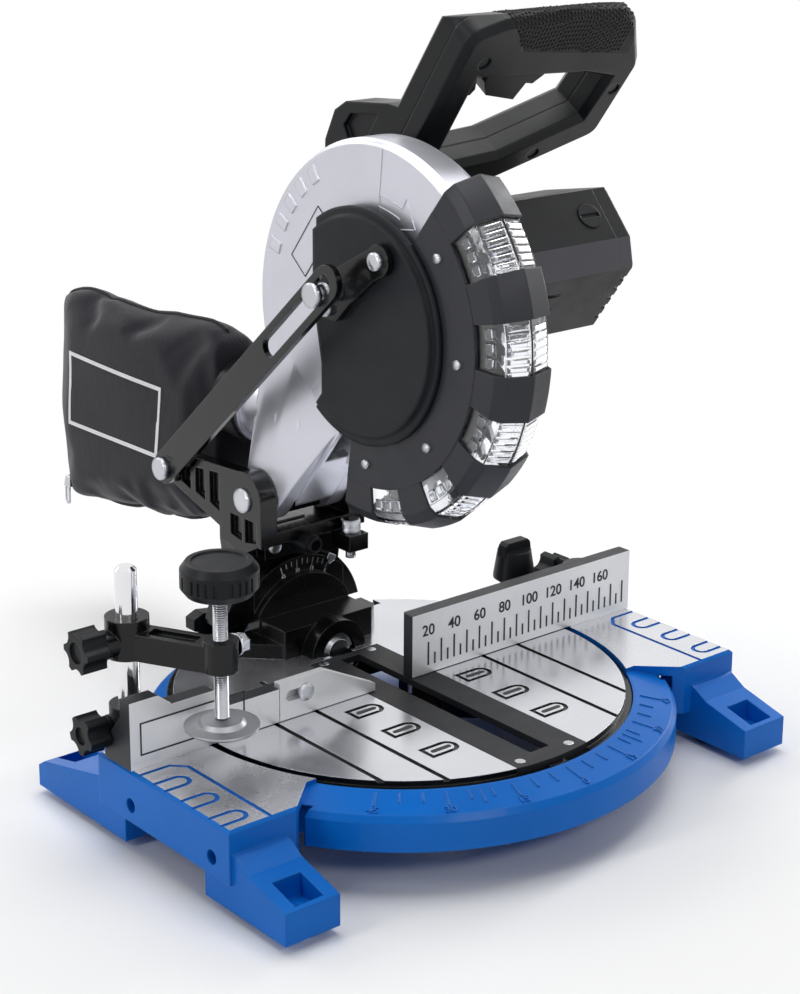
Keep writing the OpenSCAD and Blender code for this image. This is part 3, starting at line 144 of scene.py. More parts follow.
class NodeSketch:
    """Short way to add and join shader nodes in one tree."""

    def __init__(self, tree: bpy.types.NodeTree) -> None:
        """Keeps the tree that the nodes go into."""
        self.tree = tree

    @classmethod
    def fresh(cls, owner: bpy.types.Material | bpy.types.World) -> "NodeSketch":
        """Empties the nodes of a material or world and returns a sketch of them."""
        owner.use_nodes = True
        owner.node_tree.nodes.clear()
        return cls(owner.node_tree)

    def feed(self, node: bpy.types.Node, inputs: dict) -> bpy.types.Node:
        """Sets a node's inputs.

        Args:
            node: The node.
            inputs: Values or sockets by input name or index.

        Returns:
            The same node.
        """
        for key, value in inputs.items():
            if isinstance(value, Socket):
                self.tree.links.new(value, node.inputs[key])
            else:
                node.inputs[key].default_value = value
        return node

    def add(self, kind: str, inputs: Optional[dict] = None, **settings: object) -> bpy.types.Node:
        """Adds one node.

        Args:
            kind: Node type without its common prefix, such as "Math".
            inputs: Values or sockets by input name or index.
            settings: Properties of the node itself.

        Returns:
            The new node.
        """
        node = self.tree.nodes.new("ShaderNode" + kind)
        for key, value in settings.items():
            setattr(node, key, value)
        return self.feed(node, inputs or {})

    def here(self) -> Socket:
        """Returns the place on the object that is shaded."""
        return self.add("TexCoord").outputs["Object"]

    def math(self, operation: str, *values: object) -> Socket:
        """Adds a Math node and returns its result."""
        return self.add("Math", dict(enumerate(values)), operation=operation).outputs[0]

    def vector(self, operation: str, *values: object) -> Sockets:
        """Adds a Vector Math node and returns its outputs."""
        return self.add("VectorMath", dict(enumerate(values)), operation=operation).outputs

    def ramp(self, value: Socket, low: float, high: float,
             to_low: float = 0.0, to_high: float = 1.0) -> Socket:
        """Maps a value from one range to another, clamped, and returns the result."""
        return self.add("MapRange", {"Value": value, "From Min": low, "From Max": high,
                                     "To Min": to_low, "To Max": to_high}).outputs["Result"]

    def mix(self, share: object, first: object, second: object) -> Socket:
        """Mixes two colours by a share and returns the colour."""
        return self.add("Mix", {0: share, 6: first, 7: second}, data_type="RGBA").outputs[2]

    def noise(self, vector: object, scale: object, detail: float = 2.0,
              roughness: float = 0.5) -> Socket:
        """Adds a noise texture and returns its value."""
        return self.add("TexNoise", {"Vector": vector, "Scale": scale, "Detail": detail,
                                     "Roughness": roughness}).outputs[0]

    def bump(self, strength: float, depth: float, height: Socket,
             normal: Optional[Socket] = None) -> Socket:
        """Adds a bump over a normal, or over the plain surface, and returns the new normal."""
        inputs = {"Strength": strength, "Distance": depth, "Height": height}
        if normal is not None:
            inputs["Normal"] = normal
        return self.add("Bump", inputs).outputs[0]


class Effects:
    """Surface effects that several materials share, each built once as a node group."""

    BEVEL_SAMPLES = 6
    RIM = (0.015, 0.16)
    BROKEN = (0.38, 0.62)
    MIDDLE = (0.3, 0.7)
    SMEAR_RATIO = 3.3
    WOBBLE = 0.002
    SLUB_SCALE = 420.0
    YARN_SLANT = 0.7

    def __init__(self) -> None:
        """Starts with no group built."""
        self._built: dict[str, bpy.types.NodeTree] = {}

    def _group(self, name: str, inputs: dict, *outputs: str) -> tuple[NodeSketch, dict, bpy.types.Node]:
        """Opens an empty node group.

        Args:
            name: Name of the group.
            inputs: Default of each input by its name.
            outputs: Name of each output.

        Returns:
            A sketch of the tree, its input sockets by name, and its output node.
        """
        tree = bpy.data.node_groups.new(name, "ShaderNodeTree")
        for label, value in inputs.items():
            kind = VECTOR if isinstance(value, tuple) else FLOAT
            tree.interface.new_socket(label, in_out="INPUT", socket_type=kind).default_value = value
        for label in outputs:
            kind = VECTOR if label == "Normal" else FLOAT
            tree.interface.new_socket(label, in_out="OUTPUT", socket_type=kind)
        entry = tree.nodes.new("NodeGroupInput")
        leave = tree.nodes.new("NodeGroupOutput")
        self._built[name] = tree
        return NodeSketch(tree), {s.name: s for s in entry.outputs if s.name}, leave

    def place(self, sketch: NodeSketch, name: str, values: dict) -> Sockets:
        """Puts a shared effect into a material.

        Args:
            sketch: The material's tree.
            name: Effect to place, the name of one of this class's methods.
            values: Input values by name.

        Returns:
            The outputs of the group node.
        """
        if name not in self._built:
            getattr(self, name)()
        return sketch.add("Group", values, node_tree=self._built[name]).outputs

    def edges(self) -> None:
        """Builds rounded edges: a softened normal, and a broken mask along sharp edges."""
        s, take, leave = self._group("edges", {"Radius": 0.0006, "Break Scale": 220.0}, "Normal", "Edge")
        bevel = s.add("Bevel", {"Radius": take["Radius"]}, samples=self.BEVEL_SAMPLES).outputs[0]
        plain = s.add("NewGeometry").outputs["Normal"]
        bent = s.math("SUBTRACT", 1.0, s.vector("DOT_PRODUCT", bevel, plain)["Value"])
        broken = s.ramp(s.noise(s.here(), take["Break Scale"], 4.0, 0.6), *self.BROKEN)
        s.feed(leave, {"Normal": bevel, "Edge": s.math("MULTIPLY", s.ramp(bent, *self.RIM), broken)})

    def grain(self) -> None:
        """Builds a fine grain with slow clouds of tone and gloss."""
        defaults = {"Scale": 1500.0, "Cloud Scale": 14.0}
        s, take, leave = self._group("grain", defaults, "Height", "Tone", "Gloss")
        place = s.here()
        cloud = s.noise(place, take["Cloud Scale"], 4.0, 0.55)
        smear = s.noise(place, s.math("MULTIPLY", take["Cloud Scale"], self.SMEAR_RATIO), 5.0, 0.65)
        s.feed(leave, {"Height": s.noise(place, take["Scale"], 3.0, 0.6),
                       "Tone": s.ramp(cloud, *self.MIDDLE), "Gloss": s.ramp(smear, *self.MIDDLE)})

    def lay(self) -> None:
        """Builds machining marks along a stretched direction of the surface."""
        s, take, leave = self._group("lay", {"Stretch": (9.0, 620.0, 620.0)}, "Height", "Tone")
        lines = s.noise(s.vector("MULTIPLY", s.here(), take["Stretch"])[0], 1.0, 3.0, 0.6)
        s.feed(leave, {"Height": lines, "Tone": s.ramp(lines, *self.MIDDLE)})

    def turning(self) -> None:
        """Builds round tool marks about an axis, as facing on a lathe leaves them."""
        defaults = {"Centre": (0.0, 0.0, 0.0), "Across": (1.0, 1.0, 0.0), "Pitch Scale": 620.0}
        s, take, leave = self._group("turning", defaults, "Height", "Tone")
        place = s.here()
        from_axis = s.vector("SUBTRACT", place, take["Centre"])[0]
        radius = s.vector("LENGTH", s.vector("MULTIPLY", from_axis, take["Across"])[0])["Value"]
        wobble = s.math("MULTIPLY", s.noise(place, 5.0, 1.0), self.WOBBLE)
        count = s.math("MULTIPLY", s.math("ADD", radius, wobble), take["Pitch Scale"])
        inputs = {"W": count, "Scale": 1.0, "Detail": 3.0}
        rings = s.add("TexNoise", inputs, noise_dimensions="1D").outputs[0]
        s.feed(leave, {"Height": rings, "Tone": s.ramp(rings, *self.MIDDLE)})

    def weave(self) -> None:
        """Builds a plain weave of crossing yarns in the bag's length and height."""
        s, take, leave = self._group("weave", {"Yarns": 1100.0}, "Height", "Tone")
        place = s.here()
        x, y, z = s.add("SeparateXYZ", {0: place}).outputs
        phase = s.math("MULTIPLY", take["Yarns"], math.pi)
        rise = s.math("ADD", z, s.math("MULTIPLY", x, self.YARN_SLANT))
        along, across = (s.math("SINE", s.math("MULTIPLY", way, phase)) for way in (y, rise))
        over = s.math("MULTIPLY", along, across)
        slub = s.noise(place, self.SLUB_SCALE, 3.0)
        height = s.ramp(s.math("ADD", over, slub), -1.0, 2.0)
        s.feed(leave, {"Height": height, "Tone": s.ramp(over, -1.0, 1.0)})


EFFECTS = Effects()


class Coated:
    """Finish whose material is built once, around one Principled shader."""

    name: str
    nodes: Callable[[NodeSketch], dict]

    def material(self) -> bpy.types.Material:
        """Builds the material once and returns it from then on."""
        made = bpy.data.materials.get(self.name)
        if made is None:
            made = bpy.data.materials.new(self.name)
            s = NodeSketch.fresh(made)
            shader = s.add("BsdfPrincipled")
            s.add("OutputMaterial", {"Surface": shader.outputs[0]})
            s.feed(shader, self.nodes(s))
        return made


@dataclass(frozen=True)
class Finish(Coated):
    """One opaque finish of the saw: its colour, gloss, grain, edges and tool marks."""

    name: str
    colour: str
    roughness: float
    metallic: float = 0.0
    shade: float = 0.12
    spread: float = 0.08
    grain_scale: float = 1500.0
    bump: float = 0.15
    bump_depth: float = 0.00006
    edge: float = 0.0007
    wear: float = 0.0
    worn: str = "b9bbc0"
    coat: float = 0.0
    coat_roughness: float = 0.06
    sheen: float = 0.0
    specular: float = 0.5
    lay: Lay = Lay.NONE
    lay_depth: float = 0.00003
    lay_share: float = 0.35
    lay_strength: float = 0.5

    def nodes(self, s: NodeSketch) -> dict:
        """Lays out the finish's nodes and returns the shader's inputs by name."""
        base = linear(self.colour)
        bpy.data.materials[self.name].diffuse_color = base
        edges = EFFECTS.place(s, "edges", {"Radius": self.edge})
        grain = EFFECTS.place(s, "grain", {"Scale": self.grain_scale})
        dark = toned(base, 1.0 - self.shade)
        colour = s.mix(grain["Tone"], dark, toned(base, 1.0 + self.shade))
        normal = s.bump(self.bump, self.bump_depth, grain["Height"], edges["Normal"])
        if self.lay is not Lay.NONE:
            marks = self._marks(s)
            colour = s.mix(s.math("MULTIPLY", marks["Tone"], self.lay_share), colour, dark)
            normal = s.bump(self.lay_strength, self.lay_depth, marks["Height"], normal)
        if self.wear > 0.0:
            share = s.math("MULTIPLY", edges["Edge"], self.wear)
            colour = s.mix(share, colour, linear(self.worn))
        low, high = self.roughness - self.spread, self.roughness + self.spread
        gloss = s.ramp(grain["Gloss"], 0.0, 1.0, max(0.02, low), min(1.0, high))
        return {"Base Color": colour, "Roughness": gloss, "Normal": normal, "Metallic": self.metallic,
                "Coat Weight": self.coat, "Coat Roughness": self.coat_roughness,
                "Sheen Weight": self.sheen, "Specular IOR Level": self.specular}

    def _marks(self, s: NodeSketch) -> Sockets:
        """Places the tool marks that this finish has and returns their outputs."""
        if self.lay is Lay.ALONG_X:
            return EFFECTS.place(s, "lay", {})
        if self.lay is Lay.TURNED_Z:
            return EFFECTS.place(s, "turning", {})
        return EFFECTS.place(s, "turning", {"Centre": tuple(ARBOR), "Across": (0.0, 1.0, 1.0)})


@dataclass(frozen=True)
class ClearFinish(Coated):
    """Clear moulded plastic or glass with a faint ripple."""

    name: str
    colour: str
    ripple_scale: float = 160.0
    ripple: float = 0.25
    roughness: float = 0.04
    ior: float = 1.49
    ripple_depth: float = 0.0006
    edge: float = 0.0005
    gloss_range: Pair = (0.4, 1.6)

    def nodes(self, s: NodeSketch) -> dict:
        """Lays out the finish's nodes and returns the shader's inputs by name."""
        edges = EFFECTS.place(s, "edges", {"Radius": self.edge})
        grain = EFFECTS.place(s, "grain", {"Scale": self.ripple_scale})
        low, high = (self.roughness * share for share in self.gloss_range)
        return {"Base Color": linear(self.colour), "Transmission Weight": 1.0, "Metallic": 0.0,
                "IOR": self.ior, "Roughness": s.ramp(grain["Gloss"], 0.0, 1.0, low, high),
                "Normal": s.bump(self.ripple, self.ripple_depth, grain["Height"], edges["Normal"])}


@dataclass(frozen=True)
class ClothFinish(Coated):
    """Woven fabric with yarns, slow tone changes and a dusty sheen."""

    name: str
    colour: str
    yarns: float = 900.0
    tones: Pair = (0.7, 1.35)
    cloud_share: float = 0.4
    gloss_range: Pair = (0.82, 0.98)
    crumple: Pair = (0.3, 0.0008)
    thread: Pair = (0.5, 0.0002)

    def nodes(self, s: NodeSketch) -> dict:
        """Lays out the finish's nodes and returns the shader's inputs by name."""
        yarn = EFFECTS.place(s, "weave", {"Yarns": self.yarns})
        grain = EFFECTS.place(s, "grain", {"Scale": 260.0, "Cloud Scale": 22.0})
        dark, light = (toned(linear(self.colour), tone) for tone in self.tones)
        woven = s.mix(yarn["Tone"], dark, light)
        creased = s.bump(*self.crumple, grain["Height"])
        return {"Base Color": s.mix(s.math("MULTIPLY", grain["Tone"], self.cloud_share), woven, light),
                "Roughness": s.ramp(grain["Gloss"], 0.0, 1.0, *self.gloss_range),
                "Normal": s.bump(*self.thread, yarn["Height"], creased),
                "Sheen Weight": 0.3, "Sheen Roughness": 0.5, "Specular IOR Level": 0.1}


AnyFinish = Finish | ClearFinish | ClothFinish

BLUE = Finish("cast_blue", "026ac8", 0.34, shade=0.07, coat=0.05, grain_scale=260.0, bump=0.05, edge=0.0012,
              wear=0.14, worn="7fbcec", bump_depth=0.0002, specular=0.14, spread=0.04)
WING_PLATE = Finish("milled_wing", "dfe0e4", 0.27, 0.88, shade=0.06, lay=Lay.ALONG_X, edge=0.0004,
                    bump=0.008, lay_depth=4e-06, spread=0.03)
TABLE_PLATE = Finish("faced_table", "dcdde2", 0.21, 0.9, shade=0.06, lay=Lay.TURNED_Z, edge=0.0004,
                     bump=0.012, lay_depth=8e-06, spread=0.03)
FENCE_FACE = Finish("milled_fence", "e9eaec", 0.36, 0.4, shade=0.05, lay=Lay.ALONG_X, edge=0.0005,
                    bump=0.03, lay_depth=1.2e-05, spread=0.03)
FENCE_PAINT = Finish("charcoal_paint", "2a2b2f", 0.42, shade=0.1, edge=0.0007, wear=0.25, specular=0.3)
BLACK_CAST = Finish("black_cast", "08090a", 0.26, coat=0.15, grain_scale=900.0, bump=0.12, edge=0.001,
                    wear=0.22, worn="5b5d63", specular=0.25)
BLACK_GLOSS = Finish("black_gloss", "060708", 0.2, coat=0.25, edge=0.0011, wear=0.25, worn="6a6c72",
                     specular=0.3)
BLACK_MOULD = Finish("black_moulding", "0e1013", 0.4, grain_scale=2600.0, bump=0.26, edge=0.0009, wear=0.12,
                     worn="3a3b40", specular=0.2)
HANDLE_MOULD = Finish("handle_moulding", "0c0e11", 0.36, grain_scale=2800.0, bump=0.28, edge=0.0018,
                      specular=0.22)
# Painted highlight: lighter grey for the black motor facet that faces the front lamps.
LIT_FACET_PAINT = Finish("painted_lit_facet", "3c3c43", 0.38, grain_scale=2400.0, bump=0.2, edge=0.0009)
GUARD_MOULD = Finish("guard_moulding", "2a2b31", 0.4, grain_scale=2200.0, bump=0.2, edge=0.0014, wear=0.15,
                     worn="6c6d75", specular=0.28)
HUB_MOULD = Finish("hub_moulding", "14171c", 0.42, grain_scale=2400.0, bump=0.2, edge=0.0032, specular=0.2)
KERF_MOULD = Finish("kerf_moulding", "1c1d20", 0.5, grain_scale=2000.0, bump=0.25, edge=0.0005,
                    specular=0.3)
RUBBER = Finish("soft_rubber", "0d0e10", 0.62, grain_scale=1800.0, bump=0.35, edge=0.0012, sheen=0.08,
                specular=0.2)
SILVER = Finish("silver_paint", "cfd0d9", 0.34, 0.7, shade=0.05, spread=0.05, grain_scale=3200.0, bump=0.1,
                edge=0.0016, coat=0.15)
ZINC = Finish("zinc_plate", "c4c6ca", 0.26, 1.0, shade=0.1, edge=0.0009, grain_scale=1800.0)
DOMED = Finish("domed_zinc", "c2c4c9", 0.16, 1.0, shade=0.1, edge=0.0035, grain_scale=1800.0)
THREAD = Finish("thread_zinc", "b9bbc0", 0.24, 1.0, shade=0.1, edge=0.0001, grain_scale=1800.0)
PAD_ZINC = Finish("pad_zinc", "9b9da1", 0.42, 1.0, shade=0.14, edge=0.0008, grain_scale=900.0, bump=0.3)
CHROME = Finish("post_chrome", "e2e4e8", 0.07, 1.0, shade=0.03, spread=0.03, edge=0.0006)
SPRING_STEEL = Finish("spring_steel", "26272b", 0.32, 0.8, edge=0.0004)
STEEL = Finish("plain_steel", "8d9096", 0.32, 1.0, edge=0.0005)
BLADE_STEEL = Finish("blade_steel", "b4b7bc", 0.25, 1.0, lay=Lay.TURNED_X, edge=0.0002)
COPPER = Finish("winding_copper", "8a4a2b", 0.4, 0.9)
INK = Finish("black_ink", "17181b", 0.5, edge=0.0001)
WHITE_INK = Finish("white_ink", "e9eaec", 0.5, edge=0.0001, shade=0.04)
CLEAR = ClearFinish("clear_window", "fbfcff")
LENS = ClearFinish("red_lens", "d8301f", 300.0, 0.05, 0.02, 1.5)
CANVAS = ClothFinish("bag_canvas", "1d1c23")
LABEL_INK = ClothFinish("label_print", "e6e6ea")


@dataclass
class Sketch:
    """Vertices and faces gathered before they become one piece."""

    verts: list[Vector] = field(default_factory=list)
    faces: list[tuple[int, ...]] = field(default_factory=list)

    def add(self, verts: Iterable[Vector], faces: Iterable[Sequence[int]]) -> None:
        """Adds a separate mesh to the sketch."""
        base = len(self.verts)
        self.verts.extend(Vector(v) for v in verts)
        self.faces.extend(tuple(base + i for i in f) for f in faces)

    def loft(self, rings: Sequence[Sequence[Vector]], closed: bool = True, caps: bool = True) -> None:
        """Joins rings of points, all of one length, into a skin.

        Args:
            rings: Rows of points, in order.
            closed: Whether each ring runs round to its first point.
            caps: Whether the first and last ring are filled.
        """
        count = len(rings[0])
        faces: list[tuple[int, ...]] = []
        for r in range(len(rings) - 1):
            for i in range(count if closed else count - 1):
                j = (i + 1) % count
                faces.append((r * count + i, r * count + j, (r + 1) * count + j, (r + 1) * count + i))
        if caps:
            faces.append(tuple(reversed(range(count))))
            faces.append(tuple((len(rings) - 1) * count + i for i in range(count)))
        self.add([p for ring in rings for p in ring], faces)

    def slab(self, place: Matrix, low: Sequence[float], high: Sequence[float], inset: float = 0.0) -> None:
        """Adds a flat block with a drawn-in top face.

        Args:
            place: Matrix from the block's own plane, Z outwards, to the frame.
            low: Lowest corner in the plane, with the block's lower height.
            high: Highest corner in the plane, with the block's upper height.
            inset: How far the top face is drawn in.
        """
        rings = []
        for h, d in ((low[2], 0.0), (high[2], inset)):
            rings.append([place @ Vector(p) for p in (
                (low[0] + d, low[1] + d, h), (high[0] - d, low[1] + d, h),
                (high[0] - d, high[1] - d, h), (low[0] + d, high[1] - d, h))])
        self.loft(rings)

    def tube(self, path: Sequence[Vector], radius: float, sides: int = 8, closed: bool = False) -> None:
        """Adds a round tube along a path.

        Args:
            path: Points of its centre line.
            radius: Radius of the tube.
            sides: Number of sides.
            closed: Whether the path runs round to its first point.
        """
        rings, count = [], len(path)
        side = Vector((1.0, 0.0, 0.0))
        for i, p in enumerate(path):
            ahead = path[(i + 1) % count] if closed else path[min(i + 1, count - 1)]
            behind = path[i - 1] if closed else path[max(i - 1, 0)]
            way = (ahead - behind).normalized()
            lean = side.dot(way)
            side = (side - way * lean).normalized() if abs(lean) < 0.99 else way.orthogonal()
            other = way.cross(side)
            rings.append([p + (side * math.cos(a) + other * math.sin(a)) * radius
                          for a in (2 * math.pi * k / sides for k in range(sides))])
        if closed:
            rings.append(rings[0])
        self.loft(rings, caps=not closed)

    def numbers(self, text: str, height: float, place: Matrix, thickness: float) -> None:
        """Adds raised figures.

        Args:
            text: The figures.
            height: Height of a figure.
            place: Matrix from the text plane, X along the line and Z outwards, to the frame.
            thickness: How far the figures stand out.
        """
        curve = bpy.data.curves.new("figures", "FONT")
        curve.body, curve.align_x, curve.extrude, curve.offset = text, "CENTER", FONT_DEPTH, FONT_SWELL
        holder = new_object("figures", curve)
        mesh = bpy.data.meshes.new_from_object(evaluated(holder))
        points = [v.co.copy() for v in mesh.vertices]
        low, high = min(p.y for p in points), max(p.y for p in points)
        scale = height / (high - low)
        self.add([place @ Vector((p.x * scale, (p.y - low) * scale,
                                  (p.z / FONT_DEPTH + FONT_LIFT) * thickness / (1.0 + FONT_LIFT)))
                  for p in points], [tuple(f.vertices) for f in mesh.polygons])
        bpy.data.objects.remove(holder)
        bpy.data.curves.remove(curve)
        bpy.data.meshes.remove(mesh)

    def piece(self, name: str, finish: AnyFinish, body: str, slot: Slot,
              smooth: bool = False) -> bpy.types.Object:
        """Makes the sketch one piece of the saw.

        Args:
            name: Name of the piece.
            finish: Its finish.
            body: Body that it moves with.
            slot: Material slot of the record; not used.
            smooth: Whether its faces are shaded smooth.

        Returns:
            The new object.
        """
        mesh = bpy.data.meshes.new(name)
        mesh.from_pydata([tuple(v) for v in self.verts], [], self.faces)
        mesh.validate()
        if smooth:
            mesh.shade_smooth()
        mesh.materials.append(finish.material())
        made = new_object(name, mesh)
        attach(made, body)
        LOG.info("%s: %d faces on %s", name, len(mesh.polygons), body)
        return made


def dress(node: str, finish: AnyFinish, *others: tuple[AnyFinish, FaceTest]) -> None:
    """Gives a CAD node its finish, and chosen faces another one.

    Args:
        node: Name of the node.
        finish: Finish of the whole node.
        others: Further finishes, each with a test on a face's centre and normal.
    """
    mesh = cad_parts[node].data
    mesh.materials.clear()
    for one in (finish, *(f for f, _ in others)):
        mesh.materials.append(one.material())
    marks = np.zeros(len(mesh.polygons), np.int32)
    for face in mesh.polygons:
        for index, (_, test) in enumerate(others, 1):
            if test(face.center, face.normal):
                marks[face.index] = index
    mesh.polygons.foreach_set("material_index", marks)
    mesh.update()
    LOG.info("%s dressed in %s", node, finish.name)


def dress_each(finish: AnyFinish, *nodes: str) -> None:
    """Gives several CAD nodes the same finish."""
    for node in nodes:
        dress(node, finish)


def on_table(centre: Vector, normal: Vector) -> bool:
    """Tells whether a face lies in the plane of the table top and faces up."""
    return normal.z > 0.99 and abs(centre.z - TABLE_TOP) < PLANE_GAP


def to_front(_: Vector, normal: Vector) -> bool:
    """Tells whether a face looks to the front."""
    return normal.y < -0.98


def skin_of(mesh: bpy.types.Mesh) -> BVHTree:
    """Returns a tree of a mesh's faces, for finding points on its surface."""
    return BVHTree.FromPolygons([v.co for v in mesh.vertices], [tuple(p.vertices) for p in mesh.polygons])


def around(points: list[Vector]) -> Iterable[tuple[Vector, Vector]]:
    """Returns each point with the next one, round to the first."""
    return zip(points, points[1:] + points[:1])


def about_x(centre: Vector, radius: float, degrees: float, x: float) -> Vector:
    """Returns a point at a radius and angle about an axis along X, the angle from +Y towards +Z."""
    a = math.radians(degrees)
    return Vector((x, centre.y + radius * math.cos(a), centre.z + radius * math.sin(a)))


@dataclass
class Base:
    """Cast base, fence, printed ruler and the raised figures of the mitre scale."""

    fence_face: float = -0.0023
    figure_height: float = 0.0069
    ink: float = 0.00022
    tick_half: float = 0.55
    tick_foot: float = 0.0055
    long_tick: float = 0.0199
    short_tick: float = 0.0125
    figure_foot: float = 0.0240
    ruler_start: int = 20
    ruler_end: int = 180
    panel: Row = (-0.1798, -0.112, 0.0071, 0.0259)
    panel_line: float = 0.0009
    scale_radius: float = 0.1562
    scale_height: float = 0.0049
    scale_rise: float = 0.0006
    drop: float = 0.2

    def dress(self) -> None:
        """Gives the base, fence and knobs their finishes."""
        dress("base_casting", BLUE, (WING_PLATE, on_table))
        for node in ("fence_left", "fence_right"):
            dress(node, FENCE_PAINT, (FENCE_FACE, to_front))
        dress_each(RUBBER, "rubber_feet")
        dress_each(FENCE_FACE, "sliding_fence")
        dress_each(ZINC, "fence_bolts", "pivot_bolt", "kerf_screws")
        dress_each(DOMED, "slide_screw")
        dress_each(BLACK_MOULD, "post_lock_left", "post_lock_right", "mitre_lock_knob")

    def ruler(self) -> None:
        """Prints the ruler on the right fence."""
        sketch, wall = Sketch(), upright(0.0, self.fence_face, TABLE_TOP)
        for step in range(self.ruler_start, self.ruler_end + 1, 5):
            top = self.long_tick if step % 10 == 0 else self.short_tick
            sketch.slab(wall, ((step - self.tick_half) * MM, self.tick_foot, -self.ink / 4),
                        ((step + self.tick_half) * MM, top, self.ink))
        for step in range(self.ruler_start, self.ruler_end, 20):
            at = wall @ Matrix.Translation((step * MM, self.figure_foot, 0.0))
            sketch.numbers(str(step), self.figure_height, at, self.ink)
        sketch.piece("ruler_print", INK, "base", Slot.BLACK_PAINT)

    def blank_panel(self) -> None:
        """Prints an empty outlined panel on the left fence."""
        sketch, wall = Sketch(), upright(0.0, self.fence_face, TABLE_TOP)
        (left, right, foot, head), line = self.panel, self.panel_line
        for low, high in (((left, foot), (right, foot + line)), ((left, head - line), (right, head)),
                          ((left, foot), (left + line, head)), ((right - line, foot), (right, head))):
            sketch.slab(wall, (*low, -self.ink / 4), (*high, self.ink))
        sketch.piece("panel_print", INK, "base", Slot.BLACK_PAINT)

    def mitre_figures(self) -> None:
        """Raises the degree figures on the sloped front ring."""
        sketch, skin = Sketch(), skin_of(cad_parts["base_casting"].data)
        for degrees in (-45, -30, -15, 0, 15, 30, 45):
            a = math.radians(degrees)
            out = Vector((math.sin(a), -math.cos(a), 0.0))
            hit, normal, _, _ = skin.ray_cast(out * self.scale_radius + UP * self.drop, DOWN)
            if hit is None:
                continue
            up = (-out - normal * (-out).dot(normal)).normalized()
            at = Matrix((up.cross(normal), up, normal)).transposed().to_4x4()
            at.translation = hit
            sketch.numbers(str(abs(degrees)), self.scale_height, at, self.scale_rise)
        sketch.piece("mitre_figures", BLUE, "base", Slot.BLUE)

    def build(self) -> None:
        """Builds and dresses everything on the base."""
        self.dress()
        self.ruler()
        self.blank_panel()
        self.mitre_figures()


@dataclass
class Table:
    """Turntable with its tilt stand, insert and tilt scale."""

    scale_wall: float = 0.095
    scale_figures: tuple[tuple[int, float], ...] = ((45, -17.0), (30, -2.0), (15, 13.0), (0, 28.0))
    tick_radii: Pair = (0.04, 0.0505)
    tick_depths: Pair = (1e-4, 0.0016)
    figure_radius: float = 0.0401
    figure_height: float = 0.0024
    figure_rise: float = 0.0002
    bar_rows: Row = (-0.020, -0.052, -0.084)
    bar_middle: float = 0.041
    bar_half: Pair = (0.0055, 0.0014)
    bar_heights: Pair = (-0.0001, 0.0002)

    def mark_bars(self) -> None:
        """Prints the dark bars inside the table's outlined marks."""
        sketch, (long, wide) = Sketch(), self.bar_half
        bends = [(end, math.radians(start + k * 30)) for end, start in ((1, -90), (-1, 90)) for k in range(7)]
        for side in (-1, 1):
            for y in self.bar_rows:
                rim = [(side * self.bar_middle + end * long + wide * math.cos(a), y + wide * math.sin(a))
                       for end, a in bends]
                sketch.loft([[Vector((*p, TABLE_TOP + h)) for p in rim] for h in self.bar_heights])
        sketch.piece("mark_bars", INK, "turntable", Slot.BLACK_PAINT)

    def tilt_figures(self) -> None:
        """Prints the degree figures of the tilt scale."""
        sketch = Sketch()
        for value, degrees in self.scale_figures:
            a = math.radians(degrees)
            at = upright(self.figure_radius * math.sin(a), self.scale_wall,
                         TABLE_TOP + self.figure_radius * math.cos(a))
            sketch.numbers(str(value), self.figure_height, at @ Matrix.Rotation(-a, 4, "Z"), self.figure_rise)
        sketch.piece("tilt_figures", WHITE_INK, "turntable", Slot.FENCE)

    def _is_tick(self, centre: Vector, normal: Vector) -> bool:
        """Tells whether a face is the floor of a sunk mark of the tilt scale."""
        low, high = self.tick_radii
        depth = centre.y - self.scale_wall
        return (normal.y < -0.9 and self.tick_depths[0] < depth < self.tick_depths[1]
                and low < math.hypot(centre.x, centre.z - TABLE_TOP) < high)

    def build(self) -> None:
        """Dresses the turntable and prints its marks."""
        self.mark_bars()
        dress("turntable", BLACK_CAST, (TABLE_PLATE, on_table), (WHITE_INK, self._is_tick))
        dress_each(KERF_MOULD, "kerf_plate")
        dress_each(BLACK_CAST, "mitre_pointer")
        dress_each(ZINC, "bevel_bolt")
        dress_each(BLACK_MOULD, "bevel_lever")
        self.tilt_figures()


@dataclass
class Arm:
    """Tilting yoke with its shaft, spring, laser and bolts."""

    def build(self) -> None:
        """Gives the yoke and what it carries their finishes."""
        dress_each(BLACK_GLOSS, "tilt_arm", "guard_link")
        dress_each(DOMED, "head_shaft", "arm_screws", "link_bolt")
        dress_each(ZINC, "bevel_pointer")
        dress_each(SPRING_STEEL, "return_spring")
        dress_each(BLACK_MOULD, "laser_module")
        dress_each(LENS, "laser_lens")


